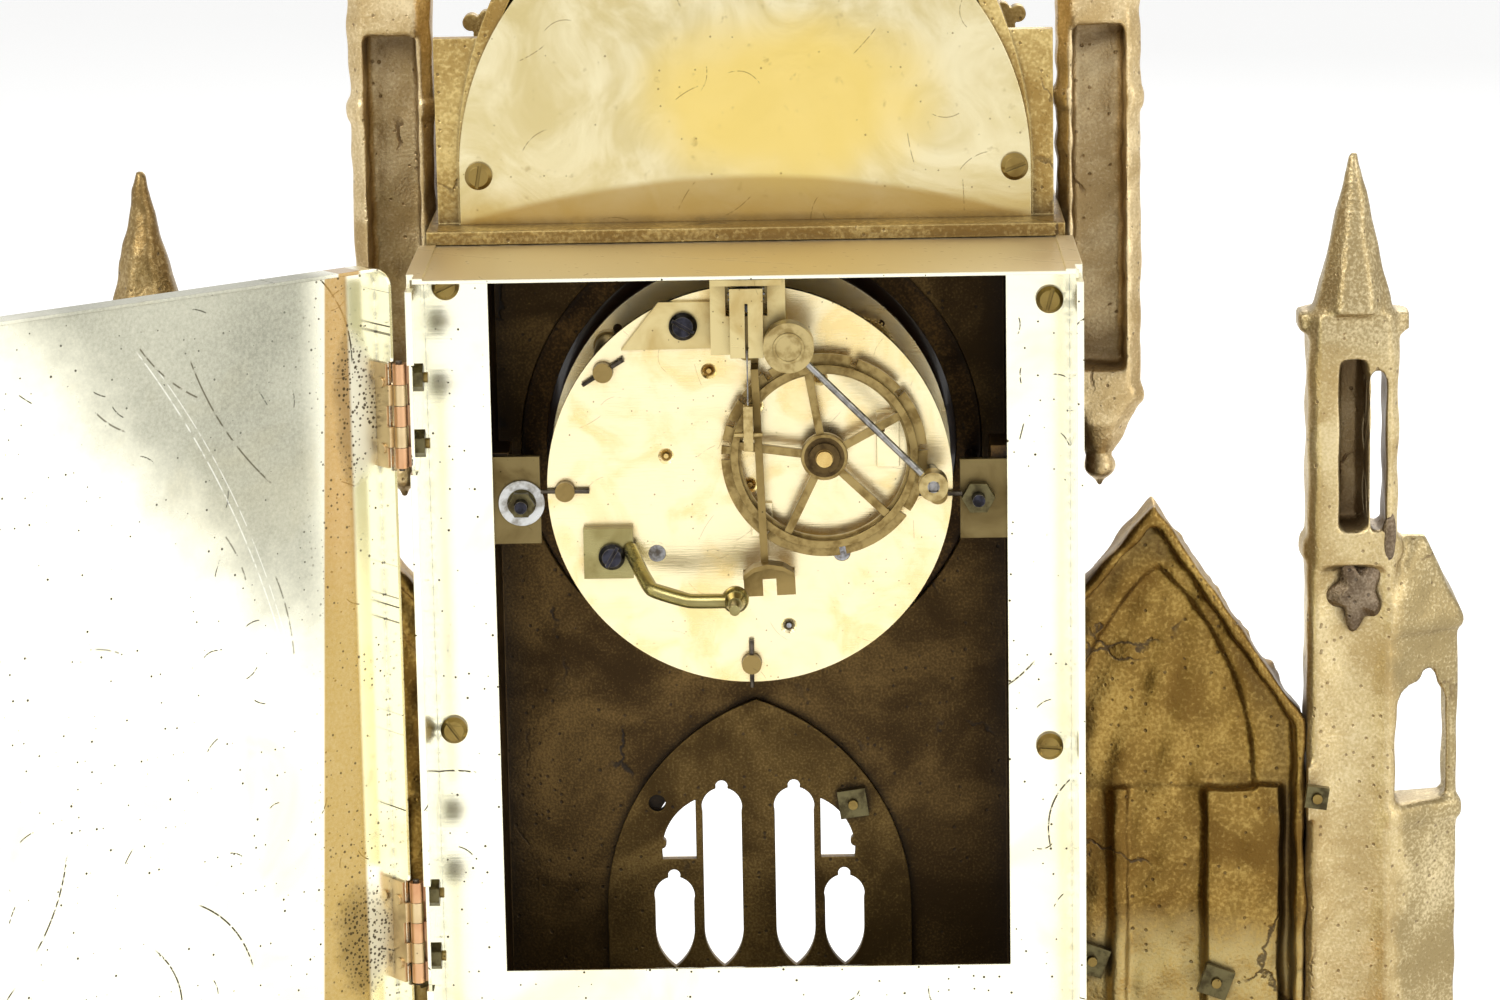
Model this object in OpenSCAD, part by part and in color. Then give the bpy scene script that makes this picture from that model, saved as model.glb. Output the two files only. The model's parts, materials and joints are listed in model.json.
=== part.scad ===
// Table clock with a pierced cathedral front in cast bronze and a round brass
// movement that strikes on a bell, closed behind by a sheet-brass box.
// Millimetres. X runs to the right of a viewer who faces the dial, Y to the
// rear, Z up. The origin lies on the table, under the middle of the plinth.

/* [Plinth] */
// Width of the lowest step
plinth_w = 372; // [366:1:400]
// Depth of the lowest step, front to rear
plinth_d = 132; // [130:1:150]
// Height of the plinth from the table to the foot of the castings
plinth_h = 62; // [56:1:68]
// Wall of the hollow plinth casting
plinth_wall = 5; // [3:0.5:7]
// How far each of the two upper steps stands in from the one below
plinth_step = 5; // [3:0.5:6]
// Thickness of the plate that closes the underside
base_plate_t = 2; // [1.5:0.5:3]

/* [Front casting] */
// Height of the dial's centre above the table
dial_z = 240; // [236:1:244]
// Rear face of the front casting, behind the plinth's middle
casting_back_y = 9.2; // [7:0.1:11]
// Depth of the front casting from its front wall to its rear face
casting_d = 49.2; // [48:0.1:54]
// Width of the front casting
front_w = 148; // [146:1:150]
// Height of the front casting's top above the table
eaves_z = 298; // [296:1:306]
// Thickness of the cast front wall
front_wall_t = 4; // [3:0.25:5]
// Thickness of the cast side walls
side_wall_t = 4; // [3:0.25:5]
// Clear width between the side walls
hollow_w = 123; // [120:0.5:124]
// Diameter of the hole for the dial
dial_hole_d = 112; // [111:0.5:113]
// Width of the portal's pointed opening
portal_w = 64; // [60:1:66]
// Radius of the portal's two arcs
portal_r = 49; // [46:1:54]
// Springing of the portal arch above the table
portal_spring_z = 122; // [116:1:124]

/* [Portal tracery] */
// Width of the tracery casting at its springing
tracery_w = 75; // [74:0.5:80]
// Radius of the tracery casting's arcs
tracery_r = 56; // [54:1:60]
// Thickness of the tracery casting
tracery_t = 2.4; // [2:0.2:4]
// Width of the two tall lights
light_w = 9.6; // [8:0.2:11]

/* [Aisles] */
// Thickness of the aisle castings' walls
aisle_t = 3; // [2:0.25:4]
// Depth of the rim turned back round each aisle
aisle_rim_d = 8; // [5:0.5:10]
// Height of the gable's tip
gable_tip_z = 226.6; // [222:0.5:232]
// Distance of the gable's tip from the clock's middle
gable_tip_x = 96.8; // [94:0.2:100]
// Height of the gable's outer foot
gable_foot_z = 172.2; // [168:0.5:176]

/* [Corner turrets] */
// Distance of each corner turret's axis from the clock's middle
turret_x = 144.5; // [144.5:0.1:147]
// Width of a corner turret across its flats
turret_w = 21.8; // [20:0.2:22.2]
// Height at which the spire starts
spire_foot_z = 273; // [268:1:280]
// Height of the corner spire's tip
spire_tip_z = 311; // [306:1:320]
// Height of the porch's eaves
porch_eaves_z = 194; // [190:1:198]
// Height of the porch roof's ridge
porch_ridge_z = 217; // [212:1:222]

/* [Engaged towers] */
// Distance of each tower's axis from the clock's middle
tower_x = 83.9; // [83.9:0.1:86]
// Width of a tower across its flats
tower_w = 19.8; // [18:0.2:20]
// Height of the corbel that carries the tower
tower_foot_z = 252; // [248:1:256]
// Height at which the tower's spire starts
tower_top_z = 428; // [420:1:436]
// Height of the tower spire's tip
tower_tip_z = 488; // [480:1:496]

/* [Upper gable] */
// Width of the upper gable's arch at its springing
gable_w = 134; // [130:1:140]
// Radius of the upper gable's arcs
gable_r = 97; // [92:1:105]
// Springing of the upper gable's arch above the table
gable_spring_z = 313; // [310:1:316]
// Radius of the round sheet cover behind the gable
cover_r = 66.6; // [64:0.2:67]
// Thickness of the sheet cover
cover_t = 1; // [0.6:0.1:1.5]

/* [Sheet box] */
// Outer width of the box
box_w = 151.5; // [150:0.5:153]
// Depth of the box behind the casting
box_d = 47.7; // [44:0.5:52]
// Thickness of the sheet brass
sheet_t = 0.8; // [0.6:0.1:1]
// Width of the opening between the side flanges
opening_w = 120.4; // [118:0.2:122]
// Height of the bottom flange's upper edge
opening_sill_z = 122; // [118:1:126]

/* [Door] */
// How far the door stands open from shut
door_open_deg = 141; // [90:1:150]
// Depth of the rim turned round the door
door_rim = 6.3; // [5:0.1:8]
// Radius of the door's corners
door_corner_r = 5; // [3:0.5:8]
// Outer radius of the hinge knuckles
knuckle_r = 1.5; // [1.3:0.05:1.8]
// Radius of the hinge pins
hinge_pin_r = 0.7; // [0.5:0.05:0.9]
// Length of each hinge
hinge_l = 24; // [20:1:30]

/* [Movement] */
// Diameter of the back plate
back_plate_d = 95; // [94:0.5:95.5]
// Diameter of the front plate
front_plate_d = 96; // [95.5:0.25:97]
// Thickness of both plates
plate_t = 2.2; // [1.8:0.1:2.6]
// Clear space between the plates
plate_gap = 32.6; // [32:0.1:34]
// Radial clearance of each pivot in its hole
pivot_clear = 0.05; // [0.02:0.01:0.1]
// End shake of each arbor between the plates
end_shake = 0.15; // [0.1:0.05:0.3]
// Radius of the pillars
pillar_r = 3; // [2.5:0.1:3.2]

/* [Dial and bezel] */
// Outer diameter of the bezel
bezel_d = 123; // [120:0.5:125]
// Diameter of the dial
dial_d = 110; // [108:0.5:110.8]
// Clear opening of the bezel
bezel_open_d = 101; // [98:0.5:103]
// Thickness of the glass
glass_t = 1.2; // [0.8:0.1:1.6]

/* [Striking] */
// Radius of the count wheel's notched rim
count_r = 24; // [22:0.2:24.6]
// Radius of the hammer's head
hammer_head_r = 5.85; // [5:0.05:6.2]
// Radius of the rod that carries the bell
bell_arm_r = 1.4; // [1.1:0.05:1.7]
// Radius of the pin on which the bell is screwed
bell_pin_r = 1.25; // [1:0.05:1.5]

/* [Hidden] */
$fn = 64;
bite = 0.1;

gilt = [0.72, 0.56, 0.27];
dark_gilt = [0.34, 0.25, 0.13];
brass = [0.86, 0.72, 0.38];
polished = [0.94, 0.88, 0.62];
steel = [0.45, 0.46, 0.48];
blued = [0.12, 0.13, 0.2];
clear = [0.8, 0.88, 0.9, 0.4];

// Case planes
front_y = casting_back_y - casting_d;
wall_back_y = front_y + front_wall_t;
relief = 2.4;
box_back_y = casting_back_y + box_d;
box_foot_z = plinth_h;
ledge_t = 3;
ledge_top_z = eaves_z + ledge_t;
gable_back_y = casting_back_y - 10.2;

// Movement planes
plate_back_y = casting_back_y + sheet_t;
inner_back_y = plate_back_y - plate_t;
inner_front_y = inner_back_y - plate_gap;
plate_front_y = inner_front_y - plate_t;
dial_back_y = front_y;
dial_t = 1.2;
dial_front_y = dial_back_y - dial_t;

// Train, as offsets from the dial's centre, seen from the front
centre_at = [0, 0];
going_barrel_at = [22.1, -16.1];
second_at = [19.5, 7.2];
third_at = 18.97 * [cos(95), sin(95)];
escape_at = [9.1, 27.3];
pallet_at = [0, 33];
strike_barrel_at = [-21.3, -16.5];
strike_second_at = [-17.5, 8];
hammer_at = [-42.5, 3];
pin_wheel_at = strike_second_at + 14.4 * [cos(160), sin(160)];
warning_at = pin_wheel_at + 14.08 * [cos(70), sin(70)];
fly_at = warning_at + 9.6 * [cos(-5), sin(-5)];
minute_at = [0, -11];
pillar_ats = [[33.8, 27.6], [43.3, -0.6], [0.3, -42.8], [-43.9, -2.5]];

// Numbers of teeth, driver before driven
barrel_teeth = 84;
second_leaves = 14;
second_teeth = 84;
centre_leaves = 12;
centre_teeth = 80;
third_leaves = 8;
third_teeth = 84;
escape_leaves = 7;
escape_teeth = 36;
strike_barrel_teeth = 80;
strike_second_leaves = 20;
strike_second_teeth = 72;
pin_leaves = 8;
pin_teeth = 80;
warning_leaves = 8;
warning_teeth = 56;
fly_leaves = 7;
cannon_leaves = 12;
minute_teeth = 36;
minute_leaves = 8;
hour_teeth = 32;

// Tooth size that makes two wheels meet on their pitch circles
function mesh_module(a, b, za, zb) = 2 * norm(b - a) / (za + zb);
// Direction from one arbor to another
function toward(a, b) = atan2(b[1] - a[1], b[0] - a[0]);
// Angle of a tooth on the driven wheel that puts its gap over the driver's tooth
function mesh_phase(a, b, za, zb, phase) =
  toward(a, b) + 180 + (360 / zb) * ((toward(a, b) - phase) * za / 360 - 0.5);

barrel_m = mesh_module(going_barrel_at, second_at, barrel_teeth, second_leaves);
second_m = mesh_module(second_at, centre_at, second_teeth, centre_leaves);
centre_m = mesh_module(centre_at, third_at, centre_teeth, third_leaves);
third_m = mesh_module(third_at, escape_at, third_teeth, escape_leaves);
strike_barrel_m = mesh_module(strike_barrel_at, strike_second_at, strike_barrel_teeth, strike_second_leaves);
strike_second_m = mesh_module(strike_second_at, pin_wheel_at, strike_second_teeth, pin_leaves);
pin_m = mesh_module(pin_wheel_at, warning_at, pin_teeth, warning_leaves);
warning_m = mesh_module(warning_at, fly_at, warning_teeth, fly_leaves);
cannon_m = mesh_module(centre_at, minute_at, cannon_leaves, minute_teeth);
hour_m = mesh_module(centre_at, minute_at, hour_teeth, minute_leaves);

// Layers of the train, each the rear face of a wheel
great_y = inner_front_y + 3.2;
great_t = 2.2;
drum_end_y = inner_back_y - 12.3;
second_y = inner_back_y - 2.6;
centre_y = inner_back_y - 8.8;
third_y = inner_back_y - 19.4;
escape_y = inner_back_y - 13.8;
warning_y = inner_back_y - 25.4;
wheel_t = 1.2;
drum_r = 19;
arbor_r = 1.2;
pivot_r = 0.6;
barrel_arbor_r = 2;

// Draws in the X-Z plane and gives it thickness t forward of y
module slab(y, t) {
  translate([0, y, 0]) rotate([90, 0, 0]) linear_extrude(t) children();
}

// Round bar along Y from y0 to y1
module rod_y(r, y0, y1) {
  translate([0, y0, 0]) rotate([-90, 0, 0]) cylinder(r = r, h = y1 - y0);
}

// Cone along Y from radius r0 at y0 to r1 at y1
module cone_y(r0, r1, y0, y1) {
  translate([0, y0, 0]) rotate([-90, 0, 0]) cylinder(r1 = r0, r2 = r1, h = y1 - y0);
}

// Moves to an offset from the dial's centre
module on_dial(at = [0, 0]) {
  translate([at[0], 0, dial_z + at[1]]) children();
}

// Moves to a point given as [x, z]
module at_xz(p) {
  translate([p[0], 0, p[1]]) children();
}

// Round bar between two points, with no ends rounded
module bar(a, b, r) {
  d = b - a;
  translate(a) rotate([0, acos(d[2] / norm(d)), atan2(d[1], d[0])]) cylinder(r = r, h = norm(d));
}

// Two-centred arch, w wide at its springing, with arcs of radius r and a foot of height h
module arch(w, h, r) {
  c = r - w / 2;
  translate([-w / 2, 0]) square([w, h]);
  translate([0, h]) intersection() {
    translate([c, 0]) circle(r, $fn = 96);
    translate([-c, 0]) circle(r, $fn = 96);
    translate([-w, 0]) square([2 * w, 2 * r]);
  }
}

// Foiled opening of n lobes with radius r on a circle of radius d
module foils(n, d, r) {
  for (i = [0:n - 1]) rotate(90 + i * 360 / n) translate([d, 0]) circle(r, $fn = 32);
  circle(d, $fn = 32);
}

// Corner points of a convex outline, drawn anticlockwise, set in by d
function inset(p, d) = [for (i = [0:len(p) - 1])
  let (a = p[(i + len(p) - 1) % len(p)], b = p[i], c = p[(i + 1) % len(p)],
    u = (b - a) / norm(b - a), v = (c - b) / norm(c - b),
    n = [-u[1], u[0]] + [-v[1], v[0]])
  b + n * d / (1 + u * v)];

// Octagonal frustum from w0 across flats at z0 to w1 at z1
module octagon_taper(w0, w1, z0, z1) {
  translate([0, 0, z0]) rotate(22.5)
    cylinder(r1 = w0 / 2 / cos(22.5), r2 = w1 / 2 / cos(22.5), h = z1 - z0, $fn = 8);
}

// Octagonal prism, w across its flats, from z0 to z1
module octagon(w, z0, z1) {
  octagon_taper(w, w, z0, z1);
}

// The shape and its mirror image on the other side of the middle
module both_sides() {
  children();
  mirror([1, 0, 0]) children();
}

// Everything to the right of the middle and in front of y
module ahead_of(y) {
  translate([0, y - 100, 0]) cube([300, 100, 600]);
}

// Outline of a toothed wheel with a tooth centred on the angle phase
module toothed(teeth, m, phase, width = 0.44, tall = 0.85) {
  root = m * (teeth / 2 - 1.15);
  pitch = m * teeth / 2;
  tip = m * (teeth / 2 + tall);
  step = 360 / teeth;
  polygon([for (i = [0:teeth - 1], k = [0:5])
    let (r = [root, pitch, tip, tip, pitch, root][k],
      f = [-0.58, -0.5, -0.2, 0.2, 0.5, 0.58][k] * width,
      a = phase + (i + f) * step)
    r * [cos(a), sin(a)]]);
}

// Windows between the arms of a wheel
module crossings(hub, rim, arms, arm_w, turn = 90) {
  difference() {
    circle(rim);
    circle(hub);
    for (i = [0:arms - 1]) rotate(turn + i * 360 / arms) translate([0, -arm_w / 2]) square([rim + 1, arm_w]);
  }
}

// Steel arbor between the plates, with a pivot at each end
module arbor(r = arbor_r) {
  rod_y(r, inner_front_y + end_shake, inner_back_y - end_shake);
  rod_y(pivot_r, plate_front_y, plate_back_y);
}

// Slotted screw head along Y, its seat at y0, domed to the rear
module screw_head(r, t, y0, slot_turn) {
  difference() {
    union() {
      rod_y(r, y0, y0 + t * 0.55);
      cone_y(r, r * 0.72, y0 + t * 0.55, y0 + t);
    }
    translate([0, y0 + t * 0.75, 0]) rotate([0, slot_turn, 0])
      translate([-r - 1, 0, -0.4]) cube([2 * r + 2, t, 0.8]);
  }
}

// Plinth

module step_shape(inset_by, z0, z1) {
  w = plinth_w - 2 * inset_by;
  d = plinth_d - 2 * inset_by;
  translate([-w / 2, -d / 2, z0]) cube([w, d, z1 - z0]);
}

module plinth() {
  lower_z = plinth_h * 0.3;
  upper_z = plinth_h * 0.84;
  color(gilt) difference() {
    union() {
      step_shape(0, base_plate_t, lower_z);
      step_shape(plinth_step / 2, lower_z, lower_z + 2.5);
      step_shape(plinth_step, lower_z + 2.5, upper_z);
      step_shape(plinth_step / 2, upper_z, upper_z + 3);
      step_shape(plinth_step, upper_z + 3, plinth_h);
      // Row of raised quatrefoils along the front
      for (i = [-5:5]) translate([i * 31, 0, (lower_z + 2.5 + upper_z) / 2])
        slab(-plinth_d / 2 + plinth_step, 1.8) difference() {
          circle(11);
          foils(4, 4.6, 4.2);
        }
    }
    step_shape(plinth_wall + plinth_step, -1, plinth_h - plinth_wall);
  }
}

module base_plate() {
  color(brass) step_shape(0, 0, base_plate_t);
}

// Front casting

side_in = hollow_w / 2;
side_out = side_in + side_wall_t;
rim_t = 4;
pier_x = 57;

module front_outline() {
  translate([-front_w / 2, plinth_h]) square([front_w, eaves_z - plinth_h]);
}

module portal_shape(grow) {
  translate([0, plinth_h - bite]) arch(portal_w + 2 * grow, portal_spring_z - plinth_h + bite, portal_r + grow);
}

// Two blind lights under a foiled circle, drawn to be raised or sunk
module two_lights(w, h) {
  for (s = [-1, 1]) translate([s * w / 4, 0]) arch(w * 0.36, h * 0.56, w * 0.36);
  translate([0, h * 0.86]) foils(4, w * 0.11, w * 0.1);
}

module facade() {
  panel_w = front_w / 2 - 40;
  color(dark_gilt) difference() {
    union() {
      slab(wall_back_y, front_wall_t) difference() {
        front_outline();
        translate([0, dial_z]) circle(d = dial_hole_d, $fn = 96);
        portal_shape(0);
      }
      // Side walls with a rim turned outwards at the rear
      both_sides() {
        translate([side_in, wall_back_y, plinth_h])
          cube([side_wall_t, casting_back_y - wall_back_y, eaves_z - plinth_h]);
        translate([side_in, casting_back_y - rim_t, plinth_h])
          cube([front_w / 2 - side_in, rim_t, eaves_z - plinth_h]);
      }
      // Top and bottom of the hollow
      for (z = [plinth_h, eaves_z - side_wall_t]) translate([-side_out, wall_back_y, z])
        cube([2 * side_out, casting_back_y - wall_back_y, side_wall_t]);
      // Pads inside the side walls, under the movement's brackets
      both_sides() translate([side_in - 5, casting_back_y - 16, dial_z - 14]) cube([6, 16 - bracket_t, 22]);
      // Portal mouldings, each nearer the opening and further back
      for (q = [[6, 4, 2 * relief], [4, 1.6, relief]]) slab(front_y, q[2]) intersection() {
        difference() {
          portal_shape(q[0]);
          portal_shape(q[1]);
        }
        front_outline();
      }
      // Piers at the edges, with bases, rings and capitals
      both_sides() translate([front_w / 2 - 5, front_y, plinth_h]) {
        cylinder(r = 4.2, h = eaves_z - plinth_h);
        cylinder(r = 5, h = 8);
        translate([0, 0, portal_spring_z + 60 - plinth_h]) cylinder(r = 5, h = 4);
      }
      // Blind tracery beside the portal, and an oculus in each upper corner
      both_sides() {
        at_xz([52, plinth_h + 10]) slab(front_y, relief) difference() {
          translate([-11, 0]) square([22, 92]);
          translate([0, 4]) two_lights(19, 84);
        }
        at_xz([54, eaves_z - 10.4]) slab(front_y, relief) difference() {
          circle(9.4);
          foils(3, 3.8, 3.6);
        }
      }
    }
    // Holes for the flange screws
    for (p = flange_screw_ats) at_xz(p) rod_y(case_screw_r + 0.1, casting_back_y - rim_t - 1, casting_back_y + 1);
    // Tapped hole for the tracery's stud
    at_xz(tracery_stud_ats[0]) rod_y(1.25, front_y + 1.5, wall_back_y + 1);
  }
}

case_screw_r = 1.4;
flange_screw_ats = [[69.9, dial_z + 48.4], [-70.3, dial_z + 43.1], [71, dial_z - 58], [-69.8, dial_z - 64.1]];
cover_screw_ats = [[62.1, dial_z + 72.6], [-62.8, dial_z + 72.9]];
tracery_stud_ats = [[-23.4, dial_z - 89.3], [24.8, dial_z - 89.1]];

// Long light with a small lobe at its head and a pointed foot
module light(w, h) {
  translate([0, h - w * 0.55]) {
    circle(w * 0.52);
    translate([0, w * 0.55]) circle(w * 0.16, $fn = 24);
  }
  translate([-w / 2, w * 0.6]) square([w, h - w * 1.1]);
  translate([0, w * 0.6]) rotate(180) intersection() {
    translate([w * 0.75, 0]) circle(w * 1.25);
    translate([-w * 0.75, 0]) circle(w * 1.25);
    translate([-w, 0]) square([2 * w, w * 2]);
  }
}

module portal_tracery() {
  foot_z = plinth_h + side_wall_t;
  spring_z = dial_z - 116;
  light_z = dial_z - 127.5;
  color(dark_gilt) difference() {
    slab(wall_back_y + tracery_t, tracery_t) difference() {
      translate([0, foot_z]) arch(tracery_w, spring_z - foot_z, tracery_r);
      both_sides() {
        translate([8.9, light_z]) light(light_w, 42.4);
        translate([21, light_z]) light(light_w, 19.8);
        // Upper light, its outer side cut by two cusps
        translate([15.4, light_z + 24]) difference() {
          intersection() {
            translate([-6, 2]) circle(14.4);
            square([9, 15]);
          }
          for (z = [4, 8.6]) translate([8.6, z]) circle(1.3, $fn = 24);
        }
        // Lights of the doors below the sill, hidden from behind
        for (x = [9, 23]) translate([x, foot_z + 6]) arch(6.5, 18, 6.5);
      }
    }
    for (p = tracery_stud_ats) at_xz(p) rod_y(p[0] < 0 ? 1.4 : 2.1, wall_back_y - 1, wall_back_y + tracery_t + 1);
  }
}

// Aisles, drawn for the side of positive X

aisle_in = front_w / 2;
aisle_out = turret_x - turret_w / 2;
aisle_y = front_y + 11;
gable_in_z = gable_tip_z - (gable_tip_x - aisle_in) * 1.17;
aisle_points = [[aisle_in, plinth_h], [aisle_out, plinth_h], [aisle_out, gable_foot_z],
  [gable_tip_x, gable_tip_z], [aisle_in, gable_in_z]];

module aisle() {
  window_x = gable_tip_x + 6;
  color(gilt) difference() {
    union() {
      slab(aisle_y, aisle_t) polygon(aisle_points);
      slab(aisle_y + aisle_rim_d, aisle_rim_d) difference() {
        polygon(aisle_points);
        polygon(inset(aisle_points, 2.6));
      }
      // Raised copings along both slopes of the gable
      slab(aisle_y - aisle_t, relief) intersection() {
        difference() {
          polygon(aisle_points);
          polygon(inset(aisle_points, 4));
        }
        translate([aisle_in, gable_foot_z - 8]) square([aisle_out - aisle_in, 80]);
      }
      // Buttress at the outer edge, seen as a raised panel from behind
      translate([109.5, aisle_y, plinth_h]) cube([18.5, 3.4, dial_z - 85 - plinth_h]);
      translate([aisle_stud_ats[1][0] + 5, aisle_y, plinth_h]) cube([3.6, 2, dial_z - 83 - plinth_h]);
      // Pointed window frame and string course on the front
      at_xz([window_x, plinth_h + 20]) slab(aisle_y - aisle_t, relief)
        difference() {
          arch(34, 66, 34);
          translate([0, 2.5]) arch(29, 63.5, 29);
        }
      at_xz([window_x, plinth_h + 22]) slab(aisle_y - aisle_t, relief * 0.6)
        difference() {
          arch(29.5, 63.5, 29.5);
          translate([0, 3]) two_lights(26, 78);
        }
      translate([aisle_in, aisle_y - aisle_t - 3.4, plinth_h]) cube([aisle_out - aisle_in, 3.4, 8]);
      translate([aisle_in, aisle_y - aisle_t - 2.4, plinth_h + 12]) cube([aisle_out - aisle_in, 2.4, 3]);
      at_xz([window_x, gable_foot_z + 14]) slab(aisle_y - aisle_t, relief * 0.6)
        difference() {
          circle(10);
          foils(4, 4, 3.6);
        }
      // Crockets up the two slopes and a knob at the tip
      for (k = [1:4]) {
        p = [aisle_out, gable_foot_z] + (k / 5) * ([gable_tip_x, gable_tip_z] - [aisle_out, gable_foot_z]);
        translate([p[0] - 1.2, 0, p[1] - 1.8]) slab(aisle_y - aisle_t, 4) foils(3, 1.9, 1.7);
      }
    }
    // Back of the gable sunk behind its pointed relief
    translate([98, aisle_y - 1.6, gable_foot_z - 18]) rotate([-90, 0, 0])
      mirror([0, 1, 0]) linear_extrude(aisle_rim_d) arch(48, 2, 74);
    for (p = aisle_stud_ats) at_xz(p) rod_y(1.3, aisle_y - aisle_t + 1, aisle_y + 6);
  }
}

aisle_stud_ats = [[112, dial_z - 134], [81.7, dial_z - 129]];

// Corner turret with its porch, drawn for the side of positive X

turret_y = front_y + 14;
turret_back_y = turret_y + 7;
turret_stud_at = [aisle_out + 2, dial_z - 84.9];
belfry_z0 = dial_z - 20;
belfry_z1 = dial_z + 22;
porch_out = turret_x + 26.8;
porch_plan = [[turret_x + 8, turret_y - 9], [porch_out, turret_y - 13], [porch_out, turret_y - 4],
  [turret_x + 8, turret_y + 6.5]];

module turret() {
  color(gilt) difference() {
    union() {
      intersection() {
        translate([turret_x, turret_y, 0]) {
          octagon(turret_w, plinth_h, spire_foot_z);
          octagon_taper(turret_w + 3, turret_w, plinth_h + 10, plinth_h + 14);
        }
        ahead_of(turret_back_y);
      }
      // Rings and cornice, which stop short of the back
      intersection() {
        translate([turret_x, turret_y, 0]) {
          octagon(turret_w + 2.4, belfry_z0 - 7, belfry_z0 - 3);
          octagon(turret_w + 1.6, dial_z - 94, dial_z - 90);
          octagon(turret_w + 4.6, spire_foot_z - 5, spire_foot_z);
        }
        ahead_of(turret_y + 4);
      }
      translate([turret_x, turret_y, 0]) octagon_taper(turret_w * 0.86, 1.8, spire_foot_z, spire_tip_z);
      // Lug that takes the stud through the aisle's rim
      translate([aisle_out, turret_back_y - 2, dial_z - 92]) cube([7, 4.5, 14]);
      porch();
    }
    // Flat where the shaft meets the aisle
    translate([aisle_out - 20, turret_y - 40, plinth_h - 1]) cube([20, 80, gable_foot_z + 2 - plinth_h]);
    // Shallow trough down the back
    translate([turret_x, turret_back_y + 13, plinth_h - 1]) cylinder(r = 16, h = belfry_z0 - 8 - plinth_h);
    // Cored centre of the lower shaft
    translate([turret_x, turret_y - 1, plinth_h - 1]) cylinder(r = 3.4, h = belfry_z0 - 20 - plinth_h);
    // Belfry: a recess behind, and beside it a lancet open from front to rear
    translate([turret_x - 3.3, turret_y - turret_w / 2 + 3.4, belfry_z0]) cube([6.1, 30, belfry_z1 - belfry_z0]);
    at_xz([turret_x + 5.7, belfry_z0]) slab(turret_y + 20, 40) arch(4, belfry_z1 - belfry_z0 - 6, 4);
    // Blind lights on the front faces
    for (a = [0, -45]) translate([turret_x, turret_y, belfry_z0 + 2]) rotate(a)
      slab(1.2 - turret_w / 2, 5) arch(5, 31, 5);
    for (z = [plinth_h + 24, dial_z - 78]) translate([turret_x, 0, z])
      slab(turret_y - turret_w / 2 + 1, 5) arch(5, 44, 5);
    at_xz(turret_stud_at) rod_y(1.3, turret_back_y - 3, turret_back_y + 4);
  }
}

// Small canted porch with a hipped roof and a cusped opening
module porch() {
  wall_in = inset(porch_plan, 2.4);
  difference() {
    translate([0, 0, plinth_h]) linear_extrude(porch_eaves_z + 2 - plinth_h) polygon(porch_plan);
    translate([0, 0, dial_z - 89]) linear_extrude(40) polygon(wall_in);
    translate([0, 0, plinth_h - 1]) linear_extrude(dial_z - 96 - plinth_h) polygon(wall_in);
    // Cusped opening, cut from the front through the rear wall
    at_xz([turret_x + 17.3, dial_z - 89]) slab(turret_y + 20, 60) {
      translate([-6.4, 0]) square([12.8, 24]);
      translate([0, 24]) circle(6.4);
      translate([1.8, 26]) arch(5.2, 3, 5.2);
    }
  }
  translate([0, 0, dial_z - 94]) linear_extrude(4) polygon(inset(porch_plan, -1.2));
  translate([0, 0, plinth_h]) linear_extrude(9) polygon(inset(porch_plan, -1.4));
  hull() {
    translate([0, 0, porch_eaves_z]) linear_extrude(2) polygon(inset(porch_plan, -1.4));
    translate([turret_x + 8, turret_y - 4, porch_ridge_z - 1]) cube([10, 3, 1]);
  }
}

// Engaged tower on its corbel, drawn for the side of positive X

tower_y = front_y + 12;
tower_back_y = tower_y + 7.5;

module tower() {
  color(gilt) difference() {
    union() {
      intersection() {
        translate([tower_x, tower_y, 0]) {
          octagon(tower_w, tower_foot_z, tower_top_z);
          octagon(tower_w + 1.8, dial_z + 83.5, dial_z + 87);
          octagon(tower_w + 1.8, tower_foot_z, tower_foot_z + 3);
          octagon(tower_w + 2.6, tower_top_z - 5, tower_top_z);
          octagon_taper(7, tower_w, tower_foot_z - 13, tower_foot_z);
        }
        ahead_of(tower_back_y);
      }
      translate([tower_x, tower_y, 0]) {
        octagon_taper(tower_w * 0.84, 0.8, tower_top_z, tower_tip_z);
        translate([0, 0, tower_tip_z - 6]) sphere(2, $fn = 24);
        translate([0, 0, tower_foot_z - 16]) sphere(3.8, $fn = 32);
        translate([0, 0, tower_foot_z - 22]) cylinder(r1 = 0.8, r2 = 2, h = 5);
      }
    }
    // Flat against the front casting
    translate([front_w / 2 - 20, tower_y - 40, 0]) cube([20, 80, ledge_top_z]);
    // Channel down the hollow back
    translate([tower_x - 6.2, tower_y - 5, tower_foot_z + 8])
      cube([12.4, 20, dial_z + 95 - tower_foot_z]);
    // Blind lights on the three front faces
    for (a = [-45, 0, 45], z = [tower_foot_z + 10, dial_z + 90, dial_z + 134])
      translate([tower_x, tower_y, z]) rotate(a)
        slab(0.9 - tower_w / 2, 3) arch(4.4, z > dial_z ? 38 : 52, 4.4);
  }
}

// Upper gable

module gable_outline(set_in) {
  translate([0, ledge_top_z]) arch(gable_w - 2 * set_in, gable_spring_z - ledge_top_z, gable_r - set_in);
}

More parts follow.
